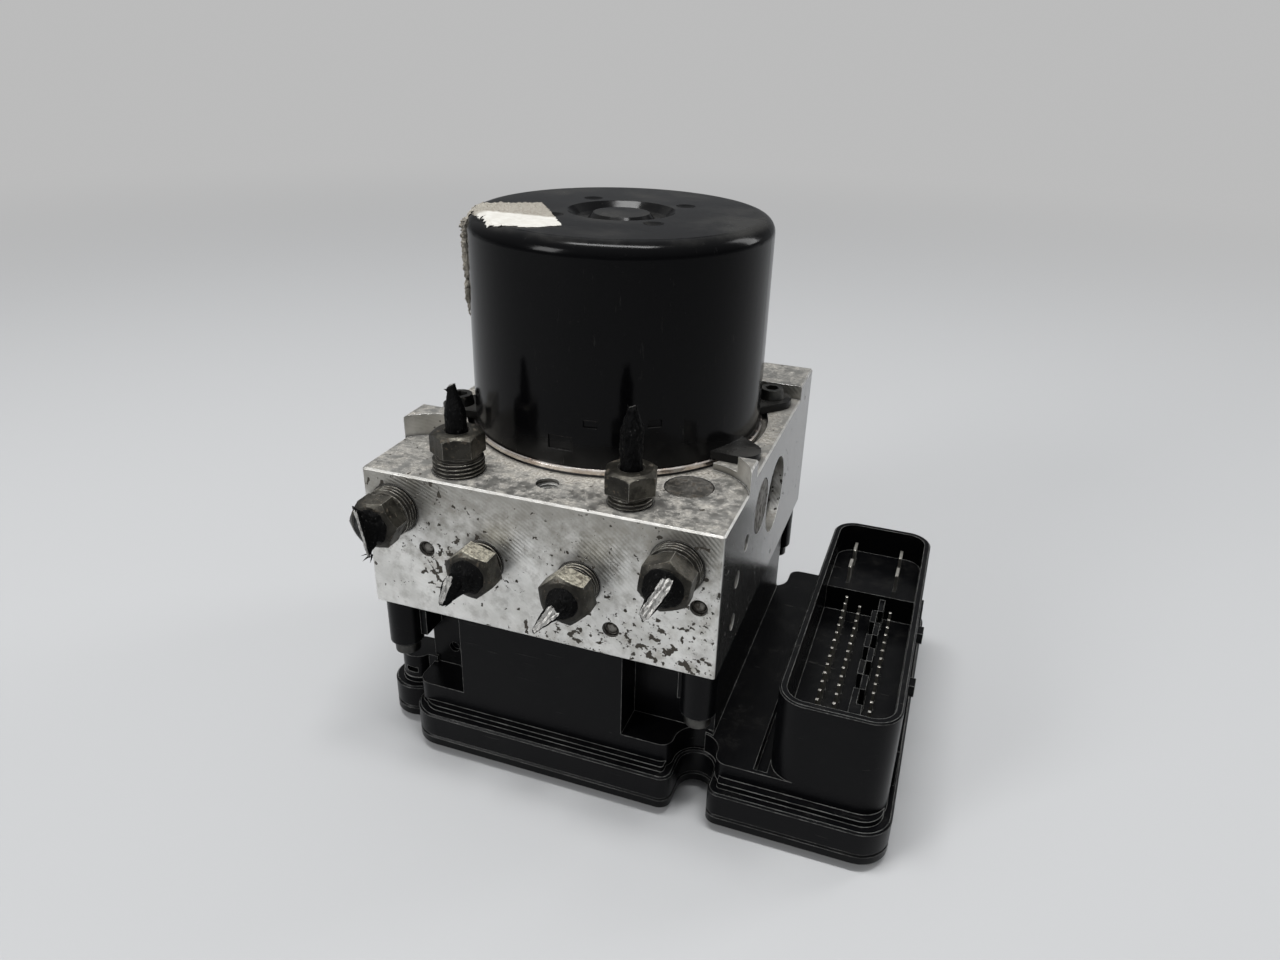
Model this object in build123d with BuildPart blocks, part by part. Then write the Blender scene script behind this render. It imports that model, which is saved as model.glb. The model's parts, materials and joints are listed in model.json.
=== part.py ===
from build123d import *
import os
from math import sqrt

# Anti-lock brake module: an aluminium valve block with the pump motor on top,
# the control unit with its connector underneath, and the cut brake pipes still
# screwed in.  Millimetres, +Z up.  The origin is on the underside of the control
# unit's cover, on the axis of the motor.  -Y is the side with the four ports.

os.makedirs("parts", exist_ok=True)

# ---------------------------------------------------------------- driving sizes

# Control unit, from its underside up
cover_height = 4.9
cover_pan_height = 2.4
cover_pan_inset = 2.6
flange_height = 6.8
flange_step_height = 1.5
flange_step_inset = 2.2
deck_rise = 5.5
body_height = 41.5
seal_thickness = 1.0
seam_chamfer = 0.45
flange_edge = 0.5
rim_edge = 0.4
board_drop = 1.0
board_thickness = 1.6

# Control unit, in plan
flange_left = -36.5
flange_right = 85.8
flange_front = -54.2
flange_back = 44.0
flange_corner = 7.5
body_left = -35.6
body_right = 41.5
body_front = -50.2
body_back = 40.4
body_corner = 3.5
panel_left = -22.0
panel_right = 20.8
recess_depth = 9.5
ledge_top = 18.3
wall = 2.0

# Connector
shroud_left = 56.5
shroud_right = 84.0
shroud_front = -49.9
shroud_back = 39.8
shroud_corner = 6.5
shroud_wall = 1.7
shroud_rim = 39.5
socket_floor = 23.5
socket_floor_thickness = 2.5
shelf_front = 15.4
shelf_height = 7.4
pin_side = 0.7
pin_top = 31.2
pin_pitch = 3.6
first_pin_y = -39.4
pin_counts = (15, 14, 14)
pin_rows = (64.4, 68.4, 76.6)
blade_width = 4.8
blade_thickness = 0.8
blade_top = 36.0
blade_spots = ((63.4, 21.5), (63.4, 31.5), (76.4, 21.5), (76.4, 31.5))
coding_rib_x = 73.2
coding_rib_width = 1.5
coding_rib_steps = 8
coding_rib_swing = 0.7

# Valve block
block_width = 87.0
block_depth = 95.0
motor_to_front = 52.5
shelf_level = 36.5
ear_level = 38.3
pad_level = 42.2
block_edge = 0.8
block_chamfer = 0.4
mill_overrun = 2.0
spot_face_radius = 39.3
rear_pad_front = 26.2
rear_pad_width = 15.5
front_pad_back = -25.2
front_pad_width = 11.0

# Brake pipe ports and nuts
large_thread = 12.0
small_thread = 10.0
thread_clearance = 0.05
port_depth = 12.5
hex_across_flats = 11.0
hex_height = 5.5
thread_length = 10.5
pipe_diameter = 4.8
pipe_clearance = 0.12
front_port_centre = -1.0
large_port_offset = 34.5
small_port_offset = 11.9
large_port_height = 27.4
small_port_height = 18.2
top_port_setback = 7.7
large_top_port_x = -22.2
small_top_port_x = 20.0

# Motor
can_radius = 37.0
can_wall = 1.6
can_top_edge = 3.6
motor_gasket_thickness = 0.6
motor_gasket_width = 2.4
end_plate_thickness = 1.2
end_plate_radius = 37.8
can_top_above_block = 89.7
ear_thickness = 2.0
rear_ear = (36.4, 20.4)
front_ear = (37.5, -16.4)
rear_ear_radius = 5.4
front_ear_radius = 4.6
ear_screw_diameter = 4.0
dimple_circle = 17.4
core_radius = 27.5
core_length = 27.0
air_gap = 0.8
shaft_radius = 4.0
running_clearance = 0.05
throw = 1.2
cam_radius = 6.0
cam_ring_radius = 10.0
commutator_radius = 9.5
rotor_slots = 12

# Pump and accumulators
pump_height = 21.7
pump_bore_radius = 10.0
pump_bore_depth = 18.0
piston_radius = 4.0
pump_stroke = 2.4
plug_recess = 3.0
plug_thickness = 4.5
accumulator_x = 19.5
accumulator_height = 17.0
accumulator_radius = 13.0
accumulator_depth = 16.0
accumulator_stroke = 4.0
screw_end_gap = 1.0
plug_chamfer = 0.3
cap_thickness = 3.5
fit_clearance = 0.05

# Solenoid valves
valve_columns = (-24.0, -8.0, 8.0, 24.0)
valve_rows = (-31.5, -17.0, 17.0)
valve_radius = 4.5
valve_depth = 12.0
valve_tube_radius = 3.0
coil_radius = 7.0
coil_height = 18.0

# Fasteners of the control unit
tower_x = 38.9
front_tower_y = -47.7
rear_tower_y = 36.5
tower_radius = 4.25
tower_bottom = 28.8
tower_taper = 0.9
unit_screw_diameter = 4.0
unit_screw_head = 6.4
unit_screw_head_height = 2.4
hole_clearance = 0.15

# ---------------------------------------------------------------- worked-out levels

flange_top = cover_height + flange_height
step_top = flange_top + flange_step_height
deck_top = flange_top + deck_rise
block_base = body_height + seal_thickness
shelf_z = block_base + shelf_level
ear_z = block_base + ear_level
block_front = -motor_to_front
block_back = block_front + block_depth
block_middle_y = block_front + block_depth / 2
block_side = block_width / 2
can_inner = can_radius - can_wall
can_top = block_base + can_top_above_block
pump_z = block_base + pump_height
end_plate_bottom = shelf_z + motor_gasket_thickness
end_plate_top = end_plate_bottom + end_plate_thickness
board_top = flange_top - board_drop
tower_spots = [(x, y) for x in (-tower_x, tower_x) for y in (front_tower_y, rear_tower_y)]
ear_spots = [rear_ear, (-rear_ear[0], rear_ear[1]), front_ear, (-front_ear[0], front_ear[1])]
ear_radii = [rear_ear_radius, rear_ear_radius, front_ear_radius, front_ear_radius]
screwed_ears = [ear_spots[0], ear_spots[3]]
valve_spots = [(x, y) for x in valve_columns for y in valve_rows]
front_ports = [
    (front_port_centre - large_port_offset, large_port_height, large_thread),
    (front_port_centre - small_port_offset, small_port_height, small_thread),
    (front_port_centre + small_port_offset, small_port_height, small_thread),
    (front_port_centre + large_port_offset, large_port_height, large_thread),
]
top_port_y = block_front + top_port_setback
top_ports = [
    (large_top_port_x, top_port_y, large_thread),
    (small_top_port_x, top_port_y, small_thread),
]


def save(piece, name):
    """Label a finished piece and write it under its own name."""
    piece.part.label = name
    export_step(piece.part, f"parts/{name}.step")


def rim_edges(piece, level):
    """The straight edges at `level` where the block's outer sides end."""
    chosen = []
    for edge in piece.edges().filter_by(GeomType.LINE):
        middle = edge.center()
        on_side = abs(abs(middle.X) - block_side) < edge_tolerance
        on_front = abs(middle.Y - block_front) < edge_tolerance
        on_back = abs(middle.Y - block_back) < edge_tolerance
        level_edge = abs(edge.start_point().Z - level) + abs(edge.end_point().Z - level) < edge_tolerance
        if level_edge and (on_side or on_front or on_back):
            chosen.append(edge)
    return chosen


# ---------------------------------------------------------------- valve block

edge_tolerance = 0.01
bracket_hole_radius = 2.7
bracket_hole_depth = 14.0
bracket_hole_spot = (-0.3, block_front + 8.8)
top_plug_radius = 5.7
top_plug_depth = 3.0
top_plug_spot = (29.8, -33.1)
left_mill_centre = (-31.0, -45.5)
left_mill_radius = 17.0
right_mill_centre = (30.0, -36.5)
right_mill_radius = 14.3
damper_plug_radius = 6.9
damper_plug_depth = 4.0
damper_plug_spot = (-17.1, 26.6)
channel_plug_radius = 2.0
channel_plug_depth = 5.0
channel_plug_recess = 0.5
front_channels = [(-27.7, 18.1), (18.7, 7.3), (38.8, 18.1)]
side_channels = [(-31.2, 23.9), (-38.1, 18.1), (-39.6, 7.5)]
cam_chamber_radius = 12.5
cam_chamber_floor = 11.5
shaft_bearing_height = 6.0
lower_bearing_radius = 7.0
lower_bearing_height = 5.0
lead_bore_radius = 4.6
lead_edge_gap = 0.8
lead_spot = (0.0, can_inner - lead_bore_radius - lead_edge_gap)
ear_screw_depth = 12.0
unit_screw_depth = 9.0

with BuildPart() as valve_block:
    with BuildSketch(Plane.XY.offset(block_base)):
        with Locations((0, block_middle_y)):
            RectangleRounded(block_width, block_depth, block_edge)
    extrude(amount=pad_level)
    chamfer(valve_block.faces().sort_by(Axis.Z)[0].outer_wire().edges(), block_chamfer)
    chamfer(valve_block.faces().sort_by(Axis.Z)[-1].outer_wire().edges(), block_chamfer)
    # The port shelf and the seat of the motor, milled below the pads
    with BuildSketch(Plane.XY.offset(shelf_z)):
        with Locations((0, (block_front + right_mill_centre[1] - mill_overrun) / 2)):
            Rectangle(block_width + mill_overrun, right_mill_centre[1] - block_front + mill_overrun)
        with Locations((0, (right_mill_centre[1] + front_pad_back) / 2)):
            Rectangle(block_width - 2 * front_pad_width, front_pad_back - right_mill_centre[1])
        with Locations(left_mill_centre):
            Circle(left_mill_radius)
        with Locations(right_mill_centre):
            Circle(right_mill_radius)
        Circle(spot_face_radius)
    extrude(amount=pad_level, mode=Mode.SUBTRACT)
    # The seats of the motor's ears, and the gap between the rear pads
    with BuildSketch(Plane.XY.offset(ear_z)):
        with Locations((0, (front_pad_back + rear_pad_front) / 2)):
            Rectangle(block_width + mill_overrun, rear_pad_front - front_pad_back)
        with Locations((0, (rear_pad_front + block_back + mill_overrun) / 2)):
            Rectangle(block_width - 2 * rear_pad_width, block_back - rear_pad_front + mill_overrun)
    extrude(amount=pad_level, mode=Mode.SUBTRACT)
    # The broken edges of the port shelf and of the ears' seats
    chamfer(rim_edges(valve_block, shelf_z) + rim_edges(valve_block, ear_z), block_chamfer)
    # Ports for the pipe nuts
    for x, height, thread in front_ports:
        port_plane = Plane((x, block_front, block_base + height), x_dir=(1, 0, 0), z_dir=(0, 1, 0))
        with BuildSketch(port_plane):
            Circle(thread / 2 + thread_clearance)
        extrude(amount=port_depth, mode=Mode.SUBTRACT)
    for x, y, thread in top_ports:
        with BuildSketch(Plane((x, y, shelf_z), z_dir=(0, 0, -1))):
            Circle(thread / 2 + thread_clearance)
        extrude(amount=port_depth, mode=Mode.SUBTRACT)
    # Bracket hole, plug pocket and screw holes in the top
    with BuildSketch(Plane((*bracket_hole_spot, shelf_z), z_dir=(0, 0, -1))):
        Circle(bracket_hole_radius)
    extrude(amount=bracket_hole_depth, mode=Mode.SUBTRACT)
    with BuildSketch(Plane((*top_plug_spot, shelf_z), z_dir=(0, 0, -1))):
        Circle(top_plug_radius + fit_clearance)
    extrude(amount=top_plug_depth, mode=Mode.SUBTRACT)
    with BuildSketch(Plane.XY.offset(ear_z)):
        with Locations(*screwed_ears):
            Circle(ear_screw_diameter / 2 + fit_clearance)
    extrude(amount=-ear_screw_depth, mode=Mode.SUBTRACT)
    with BuildSketch(Plane.XY.offset(block_base)):
        with Locations(*tower_spots):
            Circle(unit_screw_diameter / 2 + fit_clearance)
    extrude(amount=unit_screw_depth, mode=Mode.SUBTRACT)
    # Drilled channels closed by pressed-in plugs
    for x, height in front_channels:
        channel_plane = Plane((x, block_front, block_base + height), x_dir=(1, 0, 0), z_dir=(0, 1, 0))
        with BuildSketch(channel_plane):
            Circle(channel_plug_radius + fit_clearance)
        extrude(amount=channel_plug_depth, mode=Mode.SUBTRACT)
    for y, height in side_channels:
        channel_plane = Plane((block_side, y, block_base + height), x_dir=(0, 1, 0), z_dir=(-1, 0, 0))
        with BuildSketch(channel_plane):
            Circle(channel_plug_radius + fit_clearance)
        extrude(amount=channel_plug_depth, mode=Mode.SUBTRACT)
    damper_y, damper_height = damper_plug_spot
    damper_point = (block_side, damper_y, block_base + damper_height)
    damper_plane = Plane(damper_point, x_dir=(0, 1, 0), z_dir=(-1, 0, 0))
    with BuildSketch(damper_plane):
        Circle(damper_plug_radius + fit_clearance)
    extrude(amount=damper_plug_depth, mode=Mode.SUBTRACT)
    # Cam chamber under the motor with its two bearing seats
    with BuildSketch(Plane.XY.offset(block_base + cam_chamber_floor)):
        Circle(cam_chamber_radius)
    extrude(amount=shelf_level, mode=Mode.SUBTRACT)
    with BuildSketch(Plane.XY.offset(block_base + cam_chamber_floor)):
        Circle(lower_bearing_radius + fit_clearance)
    extrude(amount=-lower_bearing_height, mode=Mode.SUBTRACT)
    # Pump bores from both sides, with the guides of the pistons
    for side in (-1, 1):
        pump_plane = Plane((side * block_side, 0, pump_z), x_dir=(0, 1, 0), z_dir=(-side, 0, 0))
        with BuildSketch(pump_plane):
            Circle(pump_bore_radius)
        extrude(amount=pump_bore_depth, mode=Mode.SUBTRACT)
        with BuildSketch(pump_plane):
            Circle(piston_radius + running_clearance)
        extrude(amount=block_side, mode=Mode.SUBTRACT)
        # Low-pressure accumulators in the rear face
        rear_plane = Plane(
            (side * accumulator_x, block_back, block_base + accumulator_height),
            x_dir=(1, 0, 0),
            z_dir=(0, -1, 0),
        )
        with BuildSketch(rear_plane):
            Circle(accumulator_radius)
        extrude(amount=accumulator_depth, mode=Mode.SUBTRACT)
    # Valve bores and the way of the motor lead, from below
    with BuildSketch(Plane.XY.offset(block_base)):
        with Locations(*valve_spots):
            Circle(valve_radius + fit_clearance)
    extrude(amount=valve_depth, mode=Mode.SUBTRACT)
    with BuildSketch(Plane.XY.offset(block_base)):
        with Locations(lead_spot):
            Circle(lead_bore_radius)
    extrude(amount=shelf_level, mode=Mode.SUBTRACT)
save(valve_block, "valve_block")

with BuildPart() as top_plug:
    with BuildSketch(Plane((*top_plug_spot, shelf_z - top_plug_depth))):
        Circle(top_plug_radius)
    extrude(amount=top_plug_depth)
    chamfer(top_plug.faces().sort_by(Axis.Z)[-1].edges(), plug_chamfer)
save(top_plug, "top_plug")

with BuildPart() as damper_plug:
    with BuildSketch(damper_plane):
        Circle(damper_plug_radius)
    extrude(amount=damper_plug_depth)
    chamfer(damper_plug.faces().sort_by(Axis.X)[-1].edges(), plug_chamfer)
save(damper_plug, "damper_plug")

with BuildPart() as channel_plugs:
    for x, height in front_channels:
        plug_y = block_front + channel_plug_recess
        with BuildSketch(Plane((x, plug_y, block_base + height), x_dir=(1, 0, 0), z_dir=(0, 1, 0))):
            Circle(channel_plug_radius)
        extrude(amount=channel_plug_depth - channel_plug_recess)
    for y, height in side_channels:
        plug_x = block_side - channel_plug_recess
        with BuildSketch(Plane((plug_x, y, block_base + height), x_dir=(0, 1, 0), z_dir=(-1, 0, 0))):
            Circle(channel_plug_radius)
        extrude(amount=channel_plug_depth - channel_plug_recess)
save(channel_plugs, "channel_plugs")

# ---------------------------------------------------------------- pipe nuts and pipes

pipe_radius = pipe_diameter / 2
pipe_bore_radius = 1.6
nut_bore = pipe_radius + pipe_clearance
hex_corner = hex_across_flats / sqrt(3)
hex_top_chamfer = 0.9
hex_crown_share = 0.9
hex_foot_chamfer = 0.3
thread_depth = 0.75
neck_length = 1.0
flare_radius = 3.4
flare_length = 2.6
bulge_share = 0.45


def profile_plane(plane):
    """The plane through the axis of `plane`, with its X outward and its Y along that axis."""
    return Plane(plane.origin, x_dir=plane.x_dir, z_dir=-plane.y_dir)


def pipe_nut(plane, thread, exposed):
    """A hexagon nut screwed into its port, with `exposed` mm of thread showing.

    The plane's Z axis points out of the block, from the mouth of the port."""
    foot = exposed - thread_length
    crown = exposed + hex_height
    axis = Axis(plane.origin, plane.z_dir)
    with BuildPart() as nut:
        with BuildSketch(plane.offset(exposed)):
            RegularPolygon(hex_across_flats / 2, 6, major_radius=False)
        extrude(amount=hex_height)
        # The turned chamfers at both ends of the hexagon
        with BuildSketch(profile_plane(plane)):
            with BuildLine():
                Polyline(
                    (0, exposed),
                    (hex_corner - hex_foot_chamfer, exposed),
                    (hex_corner, exposed + hex_foot_chamfer),
                    (hex_corner, crown - hex_top_chamfer),
                    (hex_across_flats / 2 * hex_crown_share, crown),
                    (0, crown),
                    close=True,
                )
            make_face()
        revolve(axis=axis, mode=Mode.INTERSECT)
        # The threaded shank with its undercut below the hexagon
        with BuildSketch(profile_plane(plane)):
            with BuildLine():
                Polyline(
                    (0, foot),
                    (thread / 2 - thread_depth, foot),
                    (thread / 2, foot + thread_depth),
                    (thread / 2, exposed - neck_length),
                    (thread / 2 - thread_depth, exposed - neck_length),
                    (thread / 2 - thread_depth, exposed),
                    (0, exposed),
                    close=True,
                )
            make_face()
        revolve(axis=axis)
        # The bore for the pipe, wider where it presses on the flare
        with BuildSketch(plane.offset(foot)):
            Circle(nut_bore)
        extrude(amount=crown - foot, mode=Mode.SUBTRACT)
        with BuildSketch(plane.offset(foot)):
            Circle(flare_radius + pipe_clearance)
        extrude(amount=flare_length + pipe_clearance, mode=Mode.SUBTRACT)
    return nut


def pipe_stub(plane, exposed, reach, lean, bulge_size, tip_size, tip_turn):
    """A brake pipe cut off short, held in its nut by the flare on its inner end.

    `reach` is the straight length outside the nut.  `lean` is the way from there to the
    crushed tip, in the plane's own directions.  `bulge_size` and `tip_size` are the two half
    widths where the pipe swells before it is pinched, and at the tip."""
    foot = exposed - thread_length
    knee = exposed + hex_height + reach
    knee_point = plane.from_local_coords((0, 0, knee))
    tip_point = plane.from_local_coords((lean[0], lean[1], knee + lean[2]))
    tip_plane = Plane(tip_point, x_dir=plane.x_dir, z_dir=(tip_point - knee_point))
    bulge_point = knee_point + (tip_point - knee_point) * bulge_share
    bulge_plane = Plane(bulge_point, x_dir=plane.x_dir, z_dir=(tip_point - knee_point))
    with BuildPart() as stub:
        with BuildSketch(plane.offset(foot)):
            Circle(pipe_radius)
        extrude(amount=knee - foot)
        with BuildSketch(plane.offset(knee)):
            Circle(pipe_radius)
        with BuildSketch(bulge_plane):
            Ellipse(bulge_size[0], bulge_size[1], rotation=tip_turn)
        with BuildSketch(tip_plane):
            Ellipse(tip_size[0], tip_size[1], rotation=tip_turn)
        loft()
        with BuildSketch(plane.offset(foot)):
            Circle(flare_radius)
        with BuildSketch(plane.offset(foot + flare_length)):
            Circle(pipe_radius)
        loft()
        with BuildSketch(plane.offset(foot)):
            Circle(pipe_bore_radius)
        extrude(amount=knee - foot, mode=Mode.SUBTRACT)
    return stub


# name, exposed thread, straight reach, way to the tip, half widths of the swelling and
# of the tip, and the turn of both
front_fittings = [
    ("front_1", 4.2, 0.6, (0.4, 0.2, 3.4), (4.5, 3.4), (5.4, 1.3), 101),
    ("front_2", 2.0, 1.4, (-2.9, -2.3, 3.0), (3.0, 2.6), (3.8, 1.2), 71),
    ("front_3", 3.6, 0.8, (-2.0, -2.0, 3.8), (4.0, 3.1), (4.2, 1.4), 52),
    ("front_4", 4.0, 0.8, (-0.4, -0.2, 3.6), (4.6, 3.4), (5.4, 1.5), 62),
]
top_fittings = [
    ("top_1", 4.4, 3.6, (-0.6, 0.8, 6.5), (2.4, 2.0), (1.6, 0.7), 20),
    ("top_2", 2.8, 6.4, (0.4, -0.3, 7.4), (2.5, 2.1), (2.2, 1.3), 10),
]
for fitting, (x, height, thread) in zip(front_fittings, front_ports):
    name, exposed, reach, lean, bulge_size, tip_size, tip_turn = fitting
    outward = Plane((x, block_front, block_base + height), x_dir=(1, 0, 0), z_dir=(0, -1, 0))
    save(pipe_nut(outward, thread, exposed), f"pipe_nut_{name}")
    stub = pipe_stub(outward, exposed, reach, lean, bulge_size, tip_size, tip_turn)
    save(stub, f"pipe_stub_{name}")
for fitting, (x, y, thread) in zip(top_fittings, top_ports):
    name, exposed, reach, lean, bulge_size, tip_size, tip_turn = fitting
    outward = Plane((x, y, shelf_z), x_dir=(1, 0, 0), z_dir=(0, 0, 1))
    save(pipe_nut(outward, thread, exposed), f"pipe_nut_{name}")
    stub = pipe_stub(outward, exposed, reach, lean, bulge_size, tip_size, tip_turn)
    save(stub, f"pipe_stub_{name}")

# ---------------------------------------------------------------- motor case

recess_outer = 13.1
recess_inner = 11.2
boss_outer = 8.0
boss_inner = 6.8
recess_drop = 1.8
boss_drop = 0.5
pressing_spread_outer = 0.4
pressing_spread_inner = 0.6
boss_wall = 0.9
can_inner_chamfer = 2.0
ear_root_share = 0.66
ear_root_widening = 1.9
dimple_count = 4
dimple_radius = 2.5
dimple_depth = 0.8
dimple_ball = (dimple_radius**2 + dimple_depth**2) / (2 * dimple_depth)
stake_depth = 0.5
stake_marks = ((-79.2, 91.6, 3.2, 1.8), (-90.3, 86.2, 6.0, 3.4), (-56.5, 91.9, 3.2, 1.8))
can_base = end_plate_top

with BuildPart() as motor_can:
    with BuildSketch(Plane.XZ):
        with BuildLine():
            Polyline(
                (0, can_base),
                (can_radius, can_base),
                (can_radius, can_top),
                (recess_outer, can_top),
                (recess_inner, can_top - recess_drop),
                (boss_outer, can_top - recess_drop),
                (boss_inner, can_top - boss_drop),
                (0, can_top - boss_drop),
                close=True,
            )
        make_face()
    revolve(axis=Axis.Z)
    top_circles = motor_can.edges().filter_by(GeomType.CIRCLE).group_by(Axis.Z)[-1]
    fillet(top_circles.sort_by(SortBy.RADIUS)[-1], can_top_edge)
    with BuildSketch(Plane.XZ):
        with BuildLine():
            Polyline(
                (0, can_base),
                (can_inner, can_base),
                (can_inner, can_top - can_wall - can_inner_chamfer),
                (can_inner - can_inner_chamfer, can_top - can_wall),
                (recess_outer + pressing_spread_outer, can_top - can_wall),
                (recess_inner + pressing_spread_inner, can_top - recess_drop - can_wall),
                (boss_inner, can_top - recess_drop - can_wall),
                (boss_inner - boss_wall, can_top - boss_drop - can_wall),
                (0, can_top - boss_drop - can_wall),
                close=True,
            )
        make_face()
    revolve(axis=Axis.Z, mode=Mode.SUBTRACT)
    # Ears that clamp the motor to the block
    for (ear_x, ear_y), ear_radius in zip(ear_spots, ear_radii):
        with BuildSketch(Plane.XY.offset(can_base)):
            with Locations((ear_x, ear_y)):
                Circle(ear_radius)
            with Locations((ear_x * ear_root_share, ear_y * ear_root_share)):
                Circle(ear_radius * ear_root_widening)
            make_hull()
            Circle(can_inner + can_wall / 2, mode=Mode.SUBTRACT)
        extrude(amount=ear_thickness)
    with BuildSketch(Plane.XY.offset(can_base)):
        with Locations(*screwed_ears):
            Circle(ear_screw_diameter / 2 + hole_clearance)
    extrude(amount=ear_thickness, mode=Mode.SUBTRACT)
    # Round dimples pressed in round the rear bearing
    with Locations((0, 0, can_top - dimple_depth + dimple_ball)):
        with PolarLocations(dimple_circle, dimple_count, start_angle=180 / dimple_count):
            Sphere(dimple_ball, mode=Mode.SUBTRACT)
    # Small marks stamped into the side, low at the front: azimuth, height, width, tallness
    for azimuth, height, width, tallness in stake_marks:
        mark_plane = Plane.XZ.rotated((0, 0, azimuth + 90)).offset(can_radius)
        with BuildSketch(mark_plane):
            with Locations((0, height)):
                Rectangle(width, tallness)
        extrude(amount=-stake_depth, mode=Mode.SUBTRACT)
save(motor_can, "motor_can")

# ---------------------------------------------------------------- motor base

motor_gasket_inset = 0.3
end_plate_hole = 9.5
end_plate_chamfer = 0.3

with BuildPart() as motor_gasket:
    with BuildSketch(Plane.XY.offset(shelf_z)):
        Circle(end_plate_radius - motor_gasket_inset)
        Circle(end_plate_radius - motor_gasket_width, mode=Mode.SUBTRACT)
    extrude(amount=motor_gasket_thickness)
save(motor_gasket, "motor_gasket")

with BuildPart() as motor_end_plate:
    with BuildSketch(Plane.XY.offset(end_plate_bottom)):
        Circle(end_plate_radius)
        Circle(end_plate_hole, mode=Mode.SUBTRACT)
        with Locations(lead_spot):
            Circle(lead_bore_radius, mode=Mode.SUBTRACT)
    extrude(amount=end_plate_thickness)
    chamfer(motor_end_plate.faces().sort_by(Axis.Z)[-1].edges().sort_by(SortBy.RADIUS)[-1], end_plate_chamfer)
save(motor_end_plate, "motor_end_plate")

screw_head_radius = 3.5
screw_head_height = 2.6
screw_socket = 1.9
screw_socket_depth = 1.5
screw_head_taper = 12

with BuildPart() as motor_screws:
    for x, y in screwed_ears:
        head_z = can_base + ear_thickness
        with BuildSketch(Plane((x, y, head_z - ear_screw_depth + screw_end_gap))):
            Circle(ear_screw_diameter / 2)
        extrude(amount=ear_screw_depth - screw_end_gap)
        with BuildSketch(Plane((x, y, head_z))):
            Circle(screw_head_radius)
        extrude(amount=screw_head_height, taper=screw_head_taper)
        with BuildSketch(Plane((x, y, head_z + screw_head_height))):
            RegularPolygon(screw_socket, 6)
        extrude(amount=-screw_socket_depth, mode=Mode.SUBTRACT)
save(motor_screws, "motor_screws")

# ---------------------------------------------------------------- motor works

brush_plate_thickness = 3.0
brush_plate_hole = 12.4
brush_box_height = 9.0
brush_width = 7.0
brush_height = 6.0
brush_length = 9.0
brush_gap = 0.3
brush_play = 0.1
box_wall = 1.2
box_length = 17.0
box_gap = 1.6
box_mouth_overlap = 1.0
brush_plate_clearance = 0.2
brush_spring_clearance = 0.3
brush_spring_wire = 0.7
brush_start = commutator_radius + brush_gap
brush_floor = end_plate_top + brush_plate_thickness + box_wall
box_start = commutator_radius + box_gap

with BuildPart() as brush_holder:
    with BuildSketch(Plane.XY.offset(end_plate_top)):
        Circle(can_inner - brush_plate_clearance)
        Circle(brush_plate_hole, mode=Mode.SUBTRACT)
        with Locations(lead_spot):
            Circle(lead_bore_radius, mode=Mode.SUBTRACT)
    extrude(amount=brush_plate_thickness)
    for side in (-1, 1):
        box_middle = side * (box_start + box_length / 2)
        with BuildSketch(Plane((box_middle, 0, end_plate_top + brush_plate_thickness))):
            Rectangle(box_length, brush_width + 2 * box_wall)
        extrude(amount=brush_box_height)
        mouth = (side * (box_start - box_mouth_overlap), 0, brush_floor)
        with BuildSketch(Plane(mouth, x_dir=(0, 1, 0), z_dir=(side, 0, 0))):
            with Locations((0, (brush_height + brush_play) / 2 * side)):
                Rectangle(brush_width + 2 * brush_play, brush_height + brush_play)
        extrude(amount=box_length + box_mouth_overlap - box_wall, mode=Mode.SUBTRACT)
save(brush_holder, "brush_holder")

with BuildPart() as brushes:
    for side in (-1, 1):
        with BuildSketch(Plane((side * (brush_start + brush_length / 2), 0, brush_floor))):
            Rectangle(brush_length, brush_width)
        extrude(amount=brush_height)
save(brushes, "brushes")

with BuildPart() as brush_springs:
    spring_start = brush_start + brush_length
    spring_end = box_start + box_length - box_wall
    for side in (-1, 1):
        spring_plane = Plane(
            (side * spring_start, 0, brush_floor + brush_height / 2), x_dir=(0, 1, 0), z_dir=(side, 0, 0)
        )
        with BuildSketch(spring_plane):
            Circle(brush_height / 2 - brush_spring_clearance)
            Circle(brush_height / 2 - brush_spring_clearance - brush_spring_wire, mode=Mode.SUBTRACT)
        extrude(amount=spring_end - spring_start)
save(brush_springs, "brush_springs")

core_above_plate = 17.0
tooth_tip = 2.0
end_turn_inset = 3.0
slot_overlap = 0.4
core_bottom = end_plate_top + core_above_plate
core_top = core_bottom + core_length
slot_width = 4.2
slot_depth = 11.0
slot_mouth = 1.6
end_turn_height = 5.0
winding_clearance = 0.1
winding_outer = core_radius - tooth_tip
winding_inner = core_radius - slot_depth

with BuildPart() as rotor_core:
    with BuildSketch(Plane.XY.offset(core_bottom)):
        Circle(core_radius)
        Circle(shaft_radius + fit_clearance, mode=Mode.SUBTRACT)
        with PolarLocations((winding_outer + winding_inner) / 2, rotor_slots):
            Rectangle(winding_outer - winding_inner, slot_width, mode=Mode.SUBTRACT)
        with PolarLocations(core_radius, rotor_slots):
            Rectangle(2 * tooth_tip + slot_overlap, slot_mouth, mode=Mode.SUBTRACT)
    extrude(amount=core_length)
save(rotor_core, "rotor_core")

with BuildPart() as rotor_windings:
    for level in (core_bottom - end_turn_height, core_top):
        with BuildSketch(Plane.XY.offset(level)):
            Circle(winding_outer)
            Circle(winding_inner - end_turn_inset, mode=Mode.SUBTRACT)
        extrude(amount=end_turn_height)
    with BuildSketch(Plane.XY.offset(core_bottom)):
        with PolarLocations((winding_outer + winding_inner) / 2, rotor_slots):
            Rectangle(
                winding_outer - winding_inner - 2 * winding_clearance,
                slot_width - 2 * winding_clearance,
            )
    extrude(amount=core_length)
save(rotor_windings, "rotor_windings")

commutator_overhang = 2.0
commutator_bottom = brush_floor - commutator_overhang
commutator_slot_length = 1.6
commutator_slot_width = 0.6

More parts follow.
